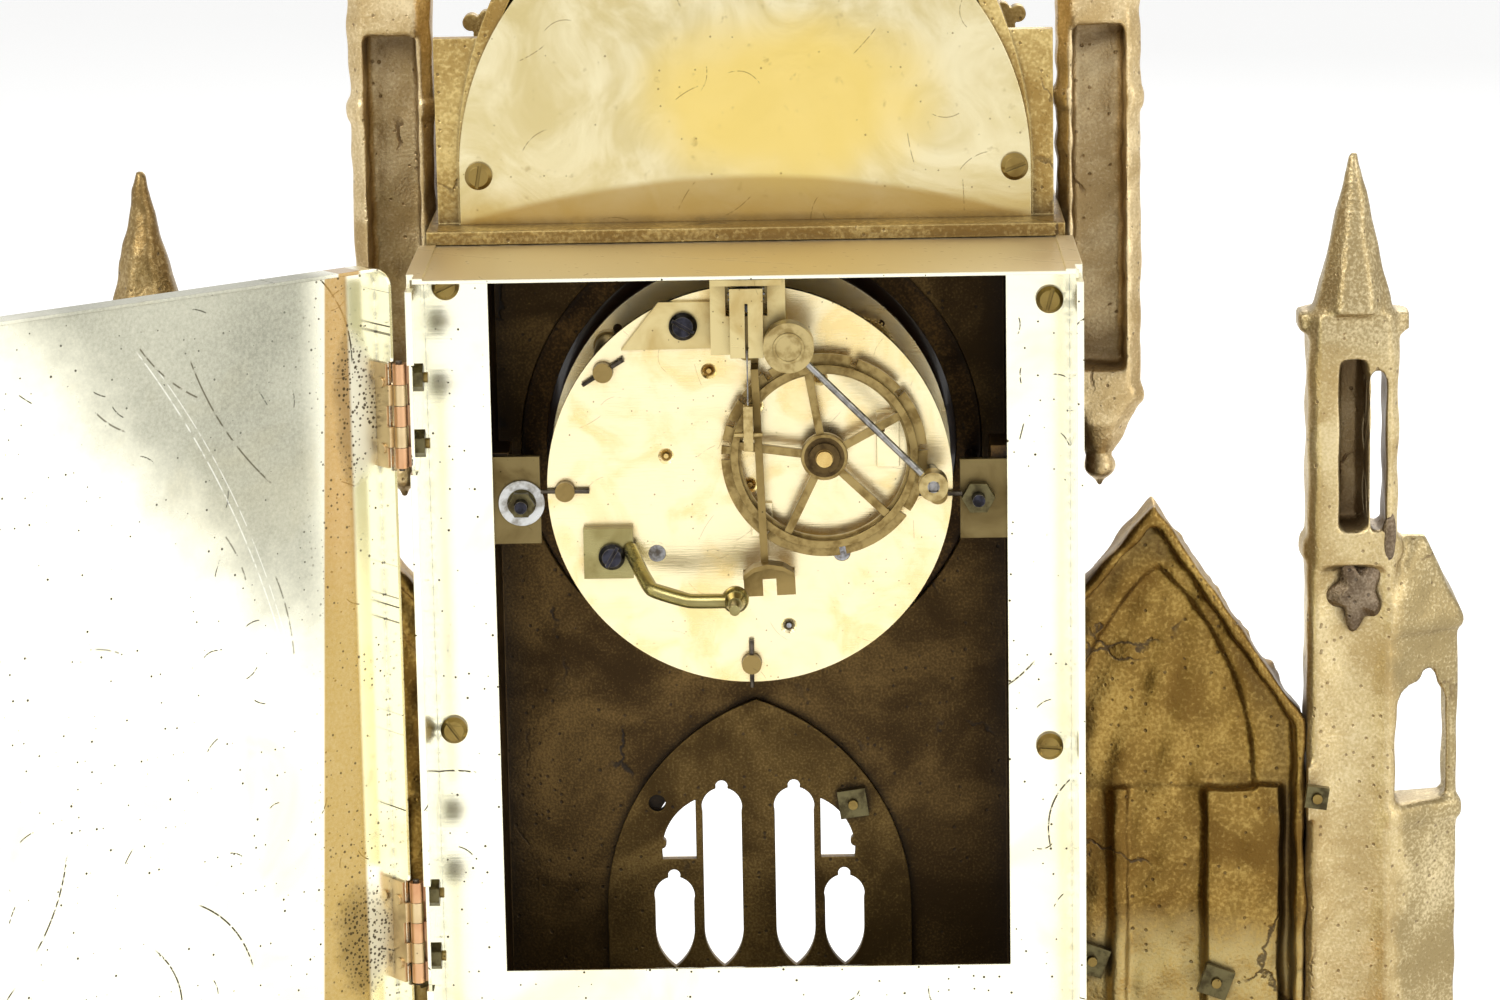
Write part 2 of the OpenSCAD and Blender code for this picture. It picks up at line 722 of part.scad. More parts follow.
module gable() {
  shoulder_z = dial_z + 104.5;
  apex_z = gable_spring_z + sqrt(gable_r * gable_r - pow(gable_r - gable_w / 2, 2));
  color(gilt) difference() {
    union() {
      // Ledge between the casting below and the gable
      translate([-front_w / 2, front_y, eaves_z]) cube([front_w, casting_back_y + 1 - front_y, ledge_t]);
      slab(wall_back_y, front_wall_t) gable_outline(0);
      slab(gable_back_y, gable_back_y - wall_back_y) difference() {
        gable_outline(0);
        translate([0, bite]) gable_outline(4);
      }
      // Shoulders between the gable and the towers
      both_sides() translate([gable_w / 2 - 6, gable_back_y - 5, ledge_top_z])
        cube([front_w / 2 - gable_w / 2 + 4, 4, shoulder_z - ledge_top_z]);
      for (p = cover_screw_ats) at_xz(p) rod_y(4.4, gable_back_y - 8, gable_back_y);
      // Mouldings and a rose on the front
      slab(front_y, relief) difference() {
        gable_outline(0);
        translate([0, -bite]) gable_outline(5);
      }
      at_xz([0, gable_spring_z + 24]) slab(front_y, relief) {
        difference() {
          circle(34);
          circle(30);
        }
        difference() {
          circle(30);
          for (i = [0:5]) rotate(i * 60) translate([18.6, 0]) foils(3, 4.6, 4.2);
          foils(6, 5, 2.8);
        }
      }
      // Crockets along the arch, and the finial
      for (s = [-1, 1], k = [0:5]) {
        a = 8 + k * 10;
        c = gable_r - gable_w / 2;
        translate([s * ((gable_r + 1) * cos(a) - c), 0, gable_spring_z + (gable_r + 1) * sin(a)])
          slab(front_y + 3.2, 4.6) rotate(-s * (90 - a)) foils(3, 2.2, 2);
      }
      translate([0, front_y + 5, 0]) octagon_taper(10, 4, apex_z - 8, apex_z + 82);
      for (z = [apex_z + 6, apex_z + 76]) translate([0, front_y + 5, 0]) octagon(11, z, z + 4);
      at_xz([0, apex_z + 84]) slab(front_y + 7, 4) {
        translate([-2.4, -6]) square([4.8, 30]);
        translate([-10, 5]) square([20, 4.8]);
        for (q = [[0, 24], [10, 7.4], [-10, 7.4]]) translate(q) foils(3, 2, 1.8);
      }
    }
    for (p = cover_screw_ats) at_xz(p) rod_y(case_screw_r + 0.1, gable_back_y - 7, gable_back_y + 1);
  }
}

module gable_cover() {
  color(polished) difference() {
    slab(gable_back_y + cover_t, cover_t) {
      translate([-cover_r, ledge_top_z]) square([2 * cover_r, gable_spring_z - ledge_top_z]);
      translate([0, gable_spring_z]) circle(cover_r, $fn = 128);
    }
    translate([-100, gable_back_y - 1, ledge_top_z - 100]) cube([200, 4, 100]);
    for (p = cover_screw_ats) at_xz(p) rod_y(case_screw_r + 0.1, gable_back_y - 1, gable_back_y + cover_t + 1);
  }
}

// Sheet-brass box

box_top_z = eaves_z - 0.3;
box_half = box_w / 2;
hinge_zs = [dial_z + 26, dial_z - 95.3];
hinge_axis = [box_half + 2.2, box_back_y - door_rim + 0.6];
leaf_t = 0.7;
leaf_screw_pitch = 15.2;
rivet_y = hinge_axis[1] + 3.4;
knuckle_play = 0.05;
hinge_pin_clear = 0.04;
leaf_screw_y = hinge_axis[1] - 6;
hinge_screw_r = 1.2;

// Turns along X at every screw of the hinges
module at_leaf_screws(x, y) {
  for (z = hinge_zs, k = [-1, 1]) translate([x, y, z + k * leaf_screw_pitch / 2]) rotate([0, 90, 0]) children();
}

module box() {
  color(polished) difference() {
    union() {
      both_sides() {
        // Side, its inner hem at the rear and its flap over the top
        translate([box_half - sheet_t, casting_back_y, box_foot_z])
          cube([sheet_t, box_d, box_top_z - box_foot_z]);
        translate([box_half - 2 * sheet_t, box_back_y - 5, box_foot_z])
          cube([sheet_t, 5, box_top_z - sheet_t - box_foot_z]);
        translate([box_half - 4, casting_back_y + 2, box_top_z]) cube([4, box_d - 2, sheet_t * 0.6]);
        // Flange against the casting
        translate([opening_w / 2, casting_back_y, box_foot_z])
          cube([box_half - opening_w / 2, sheet_t, box_top_z - box_foot_z]);
      }
      for (z = [box_foot_z, box_top_z - sheet_t]) translate([-box_half, casting_back_y, z])
        cube([box_w, box_d, sheet_t]);
      translate([-box_half, casting_back_y, box_foot_z])
        cube([box_w, sheet_t, opening_sill_z - box_foot_z]);
    }
    for (p = flange_screw_ats) at_xz(p) rod_y(case_screw_r + 0.1, casting_back_y - 1, casting_back_y + 2);
    at_leaf_screws(box_half - 3, leaf_screw_y) cylinder(r = hinge_screw_r + 0.1, h = 6);
    // Notches that clear the corners of the door's rim, and the hinge leaves behind them
    for (s = [-1, 1], z = [box_foot_z + sheet_t, door_z1 - door_corner_r])
      translate([s * box_half - 1.7, box_back_y - door_rim + 0.5, z]) cube([3.4, door_rim, door_corner_r + 0.7]);
    for (z = hinge_zs) translate([box_half - 1.7, hinge_axis[1] + 0.5, z - hinge_l / 2 - 0.5])
      cube([2, door_rim, hinge_l + 1]);
  }
}

// Door and hinges, drawn shut and then swung open about the hinge axis

door_reach = box_half + 1.1;
door_z0 = box_foot_z + 1.5;
door_z1 = box_top_z + 2.5;
door_in_y = box_back_y + 0.3;
catch_at = [-door_reach + 9.5, (door_z0 + door_z1) / 2];

module swung_open() {
  translate([hinge_axis[0], hinge_axis[1], 0]) rotate(-door_open_deg)
    translate([-hinge_axis[0], -hinge_axis[1], 0]) children();
}

// Rounded rectangle of the door, set in by d
module door_outline(d) {
  hull() for (x = (door_reach - door_corner_r) * [-1, 1], z = [door_z0 + door_corner_r, door_z1 - door_corner_r])
    translate([x, z]) circle(door_corner_r - d);
}

module door() {
  rim_front_y = door_in_y + sheet_t - door_rim;
  color(polished) swung_open() difference() {
    slab(door_in_y + sheet_t, door_rim) door_outline(0);
    slab(door_in_y, door_rim) door_outline(sheet_t);
    at_xz(catch_at) rod_y(1.55, door_in_y - 1, door_in_y + 2);
    // Slots in the rim that clear the knuckles
    for (z = hinge_zs) translate([door_reach - 1.5, rim_front_y - 1, z - hinge_l / 2 - 0.5])
      cube([4, hinge_axis[1] + 2.6 - rim_front_y, hinge_l + 1]);
    at_leaf_screws(door_reach - 3, rivet_y) cylinder(r = 0.75, h = 6);
  }
}

// Knuckles of a leaf, every second one of five from the first, each with two tabs down to the leaf
module knuckles(first, tabs) {
  tall = hinge_l / 5 - 2 * knuckle_play;
  for (z = hinge_zs, k = [first:2:4]) translate([0, 0, z - hinge_l / 2 + k * hinge_l / 5 + knuckle_play]) {
    translate(hinge_axis) cylinder(r = knuckle_r, h = tall);
    for (t = tabs) translate(t[0]) cube([t[1][0], t[1][1], tall]);
  }
}

// Bar on the hinge axis through each hinge
module hinge_bars(r, over) {
  for (z = hinge_zs) translate([hinge_axis[0], hinge_axis[1], z - hinge_l / 2 - over])
    cylinder(r = r, h = hinge_l + 2 * over);
}

module hinge_box_leaves() {
  leaf_y = hinge_axis[1] - 10;
  color(brass) difference() {
    union() {
      knuckles(0, [[[box_half, leaf_y], [leaf_t, 9.6]], [[box_half, leaf_y + 8.5], [2.2, 0.7]]]);
      for (z = hinge_zs) translate([box_half, leaf_y, z - hinge_l / 2]) cube([leaf_t, 8, hinge_l]);
    }
    at_leaf_screws(box_half - 3, leaf_screw_y) cylinder(r = hinge_screw_r + 0.1, h = 6);
    hinge_bars(hinge_pin_r + hinge_pin_clear, 1);
  }
}

module hinge_door_leaves() {
  leaf_x = door_reach - sheet_t - leaf_t;
  tab_y = hinge_axis[1] + 0.7;
  color(brass) swung_open() difference() {
    union() {
      knuckles(1, [[[leaf_x, tab_y], [hinge_axis[0] - leaf_x, 0.8]], [[leaf_x, tab_y], [leaf_t, 1.2]]]);
      for (z = hinge_zs) translate([leaf_x, tab_y + 1, z - hinge_l / 2])
        cube([leaf_t, door_in_y - tab_y - 1, hinge_l]);
      // Rivets, headed inside
      at_leaf_screws(leaf_x - 0.5, rivet_y) {
        cylinder(r = 1.2, h = 0.5);
        cylinder(r = 0.7, h = 0.5 + leaf_t + sheet_t);
      }
    }
    hinge_bars(hinge_pin_r + hinge_pin_clear, 1);
  }
}

module door_catch() {
  color(brass) swung_open() at_xz(catch_at) {
    rod_y(1.5, door_in_y - 7, door_in_y + sheet_t + 3);
    rod_y(3.4, door_in_y + sheet_t + 0.05, door_in_y + sheet_t + 0.8);
    rod_y(4.2, door_in_y + sheet_t + 3, door_in_y + sheet_t + 6);
    translate([-2, door_in_y - 8.2, -2]) cube([4, 1.2, 13]);
  }
}

// Hinge pins of the door and the bezel, and the taper pins of the pillars
module pins() {
  color(steel) {
    hinge_bars(hinge_pin_r, 0.6);
    bezel_bar(bezel_pin_r, 9);
    tapers(0.62, 0.48, 11.4);
  }
}

// Taper through the rear end of each pillar
module tapers(r0, r1, length) {
  for (i = [0:3]) on_dial(pillar_ats[i]) translate([0, plate_back_y + 1.2, 0])
    rotate([0, 90 + [32, 0, 90, 0][i], 0]) cylinder(r1 = r0, r2 = r1, h = length, center = true);
}

// Bar on the bezel's hinge axis, reach above and below the dial's centre
module bezel_bar(r, reach) {
  translate([bezel_hinge[0], bezel_hinge[1], dial_z - reach]) cylinder(r = r, h = 2 * reach);
}

// Hexagonal nut along Z, w across its flats
module hex_nut(w, t, bore) {
  difference() {
    cylinder(r = w / 2 / cos(30), h = t, $fn = 6);
    translate([0, 0, -1]) cylinder(r = bore, h = t + 2);
  }
}

module square_nut(w, t, y0, turn) {
  translate([0, y0, 0]) rotate([0, turn, 0]) difference() {
    translate([-w / 2, 0, -w / 2]) cube([w, t, w]);
    rod_y(1.25, -1, t + 1);
  }
}

module nuts() {
  color(brass) {
    // Inside the box, on the hinge screws
    at_leaf_screws(box_half - sheet_t - 2, leaf_screw_y) hex_nut(5.6, 2, hinge_screw_r + 0.05);
    // On the studs that hold the movement, with a washer under one
    on_dial(stud_ats[0]) {
      difference() {
        rod_y(5.4, bracket_y + bracket_t, bracket_y + bracket_t + 0.8);
        rod_y(stud_r + 0.1, 0, 20);
      }
      translate([0, bracket_y + bracket_t + 0.8, 0]) rotate([-90, 0, 0]) hex_nut(5.6, 2.6, stud_r + 0.05);
    }
    on_dial(stud_ats[1]) translate([0, bracket_y + bracket_t, 0]) rotate([-90, 0, 0])
      hex_nut(6.8, 2.8, stud_r + 0.05);
    // Square nuts behind the castings
    at_xz(tracery_stud_ats[0])
      square_nut(7, 2.6, wall_back_y + tracery_t, 8);
    both_sides() {
      for (p = aisle_stud_ats) at_xz(p) square_nut(7.4, 2.4, p[0] > 100 ? aisle_y + 3.4 : aisle_y, 20);
      at_xz(turret_stud_at) square_nut(5.4, 2.2, turret_back_y + 2.5, 8);
    }
  }
}

module case_screws() {
  head_r = 3.2;
  color(brass) {
    for (i = [0:3]) at_xz(flange_screw_ats[i]) {
      rod_y(case_screw_r, casting_back_y - rim_t, casting_back_y + sheet_t + 0.4);
      screw_head(head_r, 2.2, casting_back_y + sheet_t, 25 + 50 * i);
    }
    for (i = [0:1]) at_xz(cover_screw_ats[i]) {
      rod_y(case_screw_r, gable_back_y - 6.5, gable_back_y + cover_t + 0.4);
      screw_head(head_r, 2.2, gable_back_y + cover_t, 80 - 60 * i);
    }
    // Screws that hold the box leaves of the hinges, headed outside
    at_leaf_screws(0, leaf_screw_y) {
      translate([0, 0, box_half - sheet_t - 3]) cylinder(r = hinge_screw_r, h = 3 + sheet_t + leaf_t + 0.2);
      translate([0, 0, box_half + leaf_t]) cylinder(r1 = 2, r2 = 1.5, h = 0.9);
    }
    // Studs of the tracery, aisles and turrets
    at_xz(tracery_stud_ats[0]) rod_y(1.2, wall_back_y - 2, wall_back_y + tracery_t + 4);
    both_sides() {
      for (p = aisle_stud_ats) at_xz(p) rod_y(1.2, aisle_y - aisle_t + 1.2, aisle_y + (p[0] > 100 ? 7 : 3.8));
      at_xz(turret_stud_at) rod_y(1.2, turret_back_y - 2.8, turret_back_y + 6);
    }
  }
}

// Movement fixings

stud_r = 1.5;
stud_ats = [[53.6, -3.6], [-53.4, -3.6]];
bracket_t = 2;
bracket_y = casting_back_y - bracket_t;

module movement_brackets() {
  bracket_w = side_in - 0.05 - 49.2;
  color(brass) difference() {
    for (q = [[49.2, -13.4, 20.8], [-49.2 - bracket_w, -13.7, 18.9]])
      translate([q[0], bracket_y, dial_z + q[1]]) cube([bracket_w, bracket_t, q[2]]);
    for (p = stud_ats) on_dial(p) rod_y(stud_r + 0.1, bracket_y - 1, bracket_y + 5);
  }
}

module movement_screws() {
  color(steel) {
    // Two long studs from the bezel seat to the brackets
    for (p = stud_ats) on_dial(p) rod_y(stud_r, front_y + seat_lip_t, bracket_y + bracket_t + 6);
  }
  color(blued) for (q = [[foot_screw_at, bracket_foot_t, 3.3, -30], [stand_screw_at, stand_block_t, 3.1, 60]])
    on_dial(q[0]) {
      rod_y(plate_screw_r, plate_back_y - 1.6, plate_back_y + q[1] + 0.4);
      screw_head(q[2], 2.2, plate_back_y + q[1], q[3]);
    }
}

plate_screw_r = 1.3;
foot_screw_at = [14.9, 38.4];
bracket_foot_t = 1.6;
stand_screw_at = [32.6, -15.9];
stand_block_t = 3;

// Bezel seat, bezel and dial

seat_lip_t = 2;
seat_open_r = 49.8;
bezel_hinge = [-bezel_d / 2 - 2.2, front_y - 4.2];
bezel_pin_r = 0.8;
bezel_knuckle_r = 1.9;

module bezel_seat() {
  color(gilt) difference() {
    union() {
      on_dial() difference() {
        union() {
          rod_y(bezel_d / 2, front_y - seat_lip_t, front_y);
          rod_y(dial_hole_d / 2 - 0.2, front_y - bite, front_y + seat_lip_t);
        }
        rod_y(seat_open_r, front_y - 5, front_y + 5);
        rod_y(dial_d / 2 + 0.15, front_y - 5, front_y);
      }
      // Knuckles of the bezel's hinge, above and below the bezel's own
      for (k = [-1, 1]) translate([bezel_hinge[0], bezel_hinge[1], dial_z + k * 5.6 - 2.6]) {
        cylinder(r = bezel_knuckle_r, h = 5.2);
        translate([-1, 0, 0]) cube([2.9, front_y - bezel_hinge[1], 5.2]);
        translate([-1, 2.3, 0]) cube([4.4, front_y - bezel_hinge[1] - 2.3, 5.2]);
      }
    }
    bezel_bar(bezel_pin_r + hinge_pin_clear, 10);
    for (p = stud_ats) on_dial(p) rod_y(stud_r + 0.05, front_y + seat_lip_t - bite, front_y + 5);
  }
}

module bezel() {
  y0 = front_y - seat_lip_t - 0.1;
  color(gilt) difference() {
    union() {
      translate([0, y0, dial_z]) rotate([90, 0, 0]) rotate_extrude($fn = 128) bezel_profile();
      bezel_bar(bezel_knuckle_r, 2.9);
      translate([bezel_hinge[0], bezel_hinge[1] - bezel_knuckle_r, dial_z - 2.9]) cube([5.4, 1.6, 5.8]);
      // Thumb piece opposite the hinge
      translate([bezel_d / 2 - 1.4, y0 - 3.2, dial_z - 3]) cube([3.4, 1.8, 6]);
    }
    bezel_bar(bezel_pin_r + hinge_pin_clear, 10);
  }
}

// Section of the bezel: radius across, height forward
module bezel_profile() {
  ro = bezel_d / 2;
  ri = bezel_open_d / 2;
  difference() {
    union() {
      translate([ri, 0]) square([ro - ri, 2.4]);
      translate([ri, 0]) square([ro - ri - 2, 4.4]);
      translate([(ri + ro) / 2, 4]) circle(2.6);
      translate([ri, 4]) square([2.4, 4.4]);
    }
    // Groove for the glass
    translate([ri - 1, 4.2]) square([2, glass_t + 0.1]);
    translate([ri - 2, -5]) square([20, 5]);
  }
}

module bezel_glass() {
  y0 = front_y - seat_lip_t - 0.1 - 4.25;
  rim = bezel_open_d / 2 + 0.9;
  color(clear) translate([0, y0, dial_z]) rotate([90, 0, 0]) rotate_extrude($fn = 128) {
    intersection() {
      translate([0, 2.6 - glass_arc_r]) difference() {
        circle(glass_arc_r, $fn = 256);
        circle(glass_arc_r - glass_t, $fn = 256);
      }
      square([rim, 4]);
    }
    translate([rim - 2, 0]) square([2, glass_t]);
  }
}
glass_arc_r = 560;

winder_hole_r = 4;
regulator_at = [0, 47];

module at_dial_feet() {
  for (a = [45:90:315]) on_dial(44.5 * [cos(a), sin(a)]) children();
}

module dial() {
  color("white") difference() {
    union() {
      on_dial() rod_y(dial_d / 2, dial_front_y, dial_back_y);
      // Feet pinned into the movement's front plate
      at_dial_feet() {
        rod_y(1.6, dial_back_y - bite, plate_front_y);
        rod_y(1, plate_front_y - bite, inner_front_y);
      }
    }
    on_dial() rod_y(3.5, dial_front_y - 1, dial_back_y + 1);
    for (p = [going_barrel_at, strike_barrel_at]) on_dial(p)
      rod_y(winder_hole_r, dial_front_y - 1, dial_back_y + 1);
    on_dial(regulator_at) rod_y(2.4, dial_front_y - 1, dial_back_y + 1);
  }
}

// Hand with a ring near its tip, pointing up before it is turned
module hand(len_tip, hub_r, bore, y, t, turn) {
  on_dial() rotate([0, turn, 0]) slab(y, t) difference() {
    union() {
      circle(hub_r);
      translate([-0.9, 0]) square([1.8, len_tip * 0.55]);
      translate([0, len_tip * 0.62]) circle(len_tip * 0.12);
      polygon([[-1.2, len_tip * 0.7], [1.2, len_tip * 0.7], [0.3, len_tip], [-0.3, len_tip]]);
      translate([-0.7, -len_tip * 0.16]) square([1.4, len_tip * 0.16]);
    }
    circle(bore);
    translate([0, len_tip * 0.62]) circle(len_tip * 0.075);
  }
}

// Ten past ten
hour_hand_turn = -55;
minute_hand_turn = 60;
hour_hand_y = dial_front_y - 1.4;
minute_hand_y = hour_hand_y - 1.9;

module hour_hand() {
  color(blued) hand(29, 4.2, 2.95, hour_hand_y, 0.8, hour_hand_turn);
}

module minute_hand() {
  color(blued) hand(43, 3.4, 1.95, minute_hand_y, 0.8, minute_hand_turn);
}

// Plates and pillars

locking_at = [-8.6, -34];
lifting_at = [9, -34];
count_arbor_r = 1.9;
hammer_arbor_r = 1.3;

// Notch in the plates' upper edge that clears the regulator's arbor
module regulator_notch() {
  on_dial(regulator_at) slab(plate_back_y + 1, 60) {
    circle(1.5);
    translate([-1.5, 0]) square([3, 3]);
  }
}

module front_holes(ats, r) {
  for (p = ats) on_dial(p) rod_y(r, plate_front_y - 1, inner_front_y + 1);
}

module back_holes(ats, r) {
  for (p = ats) on_dial(p) rod_y(r, inner_back_y - 1, plate_back_y + 3);
}

module front_plate() {
  color(brass) difference() {
    union() {
      on_dial() rod_y(front_plate_d / 2, plate_front_y, inner_front_y);
      // Posts of the minute wheel and the clicks
      on_dial(minute_at) rod_y(0.8, hour_wheel_y - 2.4, inner_front_y);
      for (p = click_ats) on_dial(p) rod_y(0.8, plate_front_y - 2.6, inner_front_y);
    }
    front_holes([second_at, third_at, escape_at, pallet_at, strike_second_at, pin_wheel_at, warning_at, fly_at,
      locking_at, hammer_at], pivot_r + pivot_clear);
    front_holes([centre_at], arbor_r + pivot_clear);
    front_holes([going_barrel_at, strike_barrel_at], barrel_arbor_r + 0.4 + pivot_clear);
    at_dial_feet() rod_y(1.05, plate_front_y - 1, inner_front_y + 1);
    front_holes(pillar_ats, 1.95);
    front_holes([lifting_at], 0.85);
    regulator_notch();
  }
}

module back_plate() {
  color(polished) difference() {
    union() {
      on_dial() rod_y(back_plate_d / 2, inner_back_y, plate_back_y);
      // Cock by the centre and the adjustable cock of the pin wheel
      on_dial([-2.7, -8.1]) translate([-2.4, plate_back_y - bite, -4]) cube([4.8, 1.3 + bite, 8]);
      on_dial([-32.4, 10.6]) translate([-2.6, plate_back_y - bite, -6.5]) cube([5.2, 1.3 + bite, 13]);
    }
    pivots = [centre_at, second_at, third_at, escape_at, pin_wheel_at, warning_at, fly_at, locking_at];
    back_holes(pivots, pivot_r + pivot_clear);
    // Oil cups
    for (p = pivots) on_dial(p) cone_y(pivot_r + pivot_clear, 1.9, plate_back_y - 0.9, plate_back_y + 0.01);
    back_holes([pallet_at], arbor_r + 0.6);
    back_holes([strike_second_at], count_arbor_r + pivot_clear);
    back_holes([hammer_at], hammer_arbor_r + pivot_clear);
    back_holes([going_barrel_at, strike_barrel_at], barrel_arbor_r + pivot_clear);
    back_holes(pillar_ats, 2.35);
    back_holes([foot_screw_at, stand_screw_at], plate_screw_r + 0.05);
    regulator_notch();
  }
}

module pillars() {
  color(brass) difference() {
    for (p = pillar_ats) on_dial(p) {
      rod_y(pillar_r, inner_front_y, inner_back_y);
      for (y = [inner_front_y, inner_back_y - 2.4]) rod_y(pillar_r + 0.5, y, y + 2.4);
      rod_y(1.9, plate_front_y, inner_front_y + bite);
      rod_y(2.3, inner_back_y - bite, plate_back_y + 2.6);
    }
    tapers(0.64, 0.5, 12);
  }
}

// Spring barrels and their winding arbors

module barrel(at, teeth, m, phase, t = great_t) {
  on_dial(at) difference() {
    union() {
      slab(great_y, t) toothed(teeth, m, phase);
      rod_y(drum_r, great_y - bite, drum_end_y);
      rod_y(3.6, drum_end_y - bite, drum_end_y + 1.2);
    }
    rod_y(barrel_arbor_r + 0.9, great_y - t - 1, great_y + 1.5);
    rod_y(drum_r - 1.2, great_y + 1.2, drum_end_y - 1.6);
    rod_y(barrel_arbor_r + pivot_clear, great_y - t - 1, drum_end_y + 3);
  }
}

module going_barrel() {
  color(brass) barrel(going_barrel_at, barrel_teeth, barrel_m, barrel_phase);
}

module strike_barrel() {
  color(brass) barrel(strike_barrel_at, strike_barrel_teeth, strike_barrel_m, strike_barrel_phase);
}

ratchet_teeth = 24;
ratchet_r = 6.4;
square_w = 3.6;

module winder(at) {
  on_dial(at) {
    rod_y(barrel_arbor_r, inner_front_y + end_shake, plate_back_y - 0.1);
    rod_y(barrel_arbor_r + 0.4, plate_front_y - 0.3, inner_front_y + end_shake + bite);
    slab(plate_front_y - 0.2, 1.4) ratchet();
    rod_y(2.6, plate_front_y - 2.4, plate_front_y - 0.2);
    translate([-square_w / 2, dial_front_y - 0.6, -square_w / 2])
      cube([square_w, plate_front_y - 2 - dial_front_y + 0.6, square_w]);
  }
}

// Saw-toothed ratchet wheel
module ratchet() {
  step = 360 / ratchet_teeth;
  polygon([for (i = [0:ratchet_teeth - 1], k = [0, 1])
    let (a = i * step + k * step * 0.08, r = k == 0 ? ratchet_r - 0.9 : ratchet_r)
    r * [cos(a), sin(a)]]);
}

module going_winder() {
  color(steel) winder(going_barrel_at);
}

module strike_winder() {
  color(steel) winder(strike_barrel_at);
}

click_ats = [[32.6, -16.1], [-31.8, -16.5]];

// Click with its nose just clear of the ratchet's teeth
module click(at, side) {
  on_dial(at) {
    slab(plate_front_y - 0.2, 1.4) difference() {
      union() {
        circle(2);
        polygon([[side * -1.9, 0], [side * 1.9, 0], [side * -2.6, 7.6], [side * -3.5, 7.3]]);
      }
      circle(0.85);
    }
    difference() {
      rod_y(2.1, plate_front_y - 2.2, plate_front_y - 1.6);
      rod_y(0.85, plate_front_y - 3, plate_front_y);
    }
  }
}

module going_click() {
  color(steel) click(click_ats[0], 1);
}

module strike_click() {
  color(steel) click(click_ats[1], -1);
}

// Going train

barrel_phase = toward(going_barrel_at, second_at);
second_pinion_phase = mesh_phase(going_barrel_at, second_at, barrel_teeth, second_leaves, barrel_phase);
second_phase = toward(second_at, centre_at);
centre_pinion_phase = mesh_phase(second_at, centre_at, second_teeth, centre_leaves, second_phase);
centre_phase = toward(centre_at, third_at);
third_pinion_phase = mesh_phase(centre_at, third_at, centre_teeth, third_leaves, centre_phase);
third_phase = toward(third_at, escape_at);
escape_pinion_phase = mesh_phase(third_at, escape_at, third_teeth, escape_leaves, third_phase);

// Wheel of the train with its arms
module train_wheel(y, t, teeth, m, phase, hub, arm_w, rim = 3.2) {
  slab(y, t) difference() {
    toothed(teeth, m, phase);
    crossings(hub, m * (teeth / 2 - rim), 4, arm_w, phase + 45);
  }
}

module pinion(y, t, leaves, m, phase) {
  slab(y, t) toothed(leaves, m, phase, 0.36, 0.75);
}

module second_wheel() {
  color(brass) on_dial(second_at) {
    arbor(1.5);
    pinion(great_y + 0.4, great_t + 0.8, second_leaves, barrel_m, second_pinion_phase);
    train_wheel(second_y, 1.5, second_teeth, second_m, second_phase, 4, 2.2);
  }
}

module centre_wheel() {
  color(brass) on_dial(centre_at) {
    rod_y(1.6, inner_front_y + end_shake, inner_back_y - end_shake);
    rod_y(pivot_r, inner_back_y - 1, plate_back_y);
    rod_y(arbor_r, minute_hand_y - 2.2, inner_front_y + 1);
    pinion(second_y + 0.6, 2.7, centre_leaves, second_m, centre_pinion_phase);
    train_wheel(centre_y, wheel_t, centre_teeth, centre_m, centre_phase, 4, 2);
  }
}

module third_wheel() {
  color(brass) on_dial(third_at) {
    arbor(0.9);
    pinion(centre_y + 0.5, 2.2, third_leaves, centre_m, third_pinion_phase);
    train_wheel(third_y, 1, third_teeth, third_m, third_phase, 2.6, 1.4);
  }
}

escape_r = 8.5;

module escape_wheel() {
  step = 360 / escape_teeth;
  color(brass) on_dial(escape_at) {
    arbor(0.8);
    pinion(third_y + 0.5, 2, escape_leaves, third_m, escape_pinion_phase);
    slab(escape_y, 0.8) difference() {
      polygon([for (i = [0:escape_teeth - 1], k = [0:2])
        let (a = (i + [0, 0.12, 0.5][k]) * step, r = [escape_r, escape_r, escape_r - 1.4][k])
        r * [cos(a), sin(a)]]);
      crossings(1.8, escape_r - 2.4, 4, 1);
    }
  }
}

// Anchor set a little shallow, so that it clears the teeth over its whole swing
module pallets() {
  span = 38;
  aim = toward(escape_at, pallet_at);
  reach = escape_r + 1.1;
  color(steel) {
    on_dial(pallet_at) {
      rod_y(arbor_r * 0.8, inner_front_y + end_shake, escape_y + 2);
      rod_y(pivot_r, plate_front_y, inner_front_y + 1);
      rod_y(arbor_r, escape_y + 1, plate_back_y + 4);
    }
    on_dial() slab(escape_y + 0.3, 1.4) {
      for (s = [-1, 1]) {
        tip = escape_at + reach * [cos(aim + s * span), sin(aim + s * span)];
        d = tip - pallet_at;
        translate(pallet_at) rotate(atan2(d[1], d[0])) translate([0, -0.5]) square([norm(d) + 0.2, 1]);
      }
      translate(pallet_at) circle(2);
    }
  }
}

// Motion work under the dial

cannon_y = plate_front_y - 2.4;
hour_wheel_y = cannon_y - 2.2;
cannon_phase = toward(centre_at, minute_at);
minute_phase = mesh_phase(centre_at, minute_at, cannon_leaves, minute_teeth, cannon_phase);
hour_phase = toward(centre_at, minute_at);
minute_pinion_phase = mesh_phase(centre_at, minute_at, hour_teeth, minute_leaves, hour_phase);

module cannon_pinion() {
  color(brass) on_dial(centre_at) difference() {
    union() {
      pinion(cannon_y, 2, cannon_leaves, cannon_m, cannon_phase);
      rod_y(1.9, minute_hand_y - 1.2, cannon_y + 1.2);
    }
    rod_y(arbor_r + 0.02, minute_hand_y - 3, cannon_y + 3);
  }
}

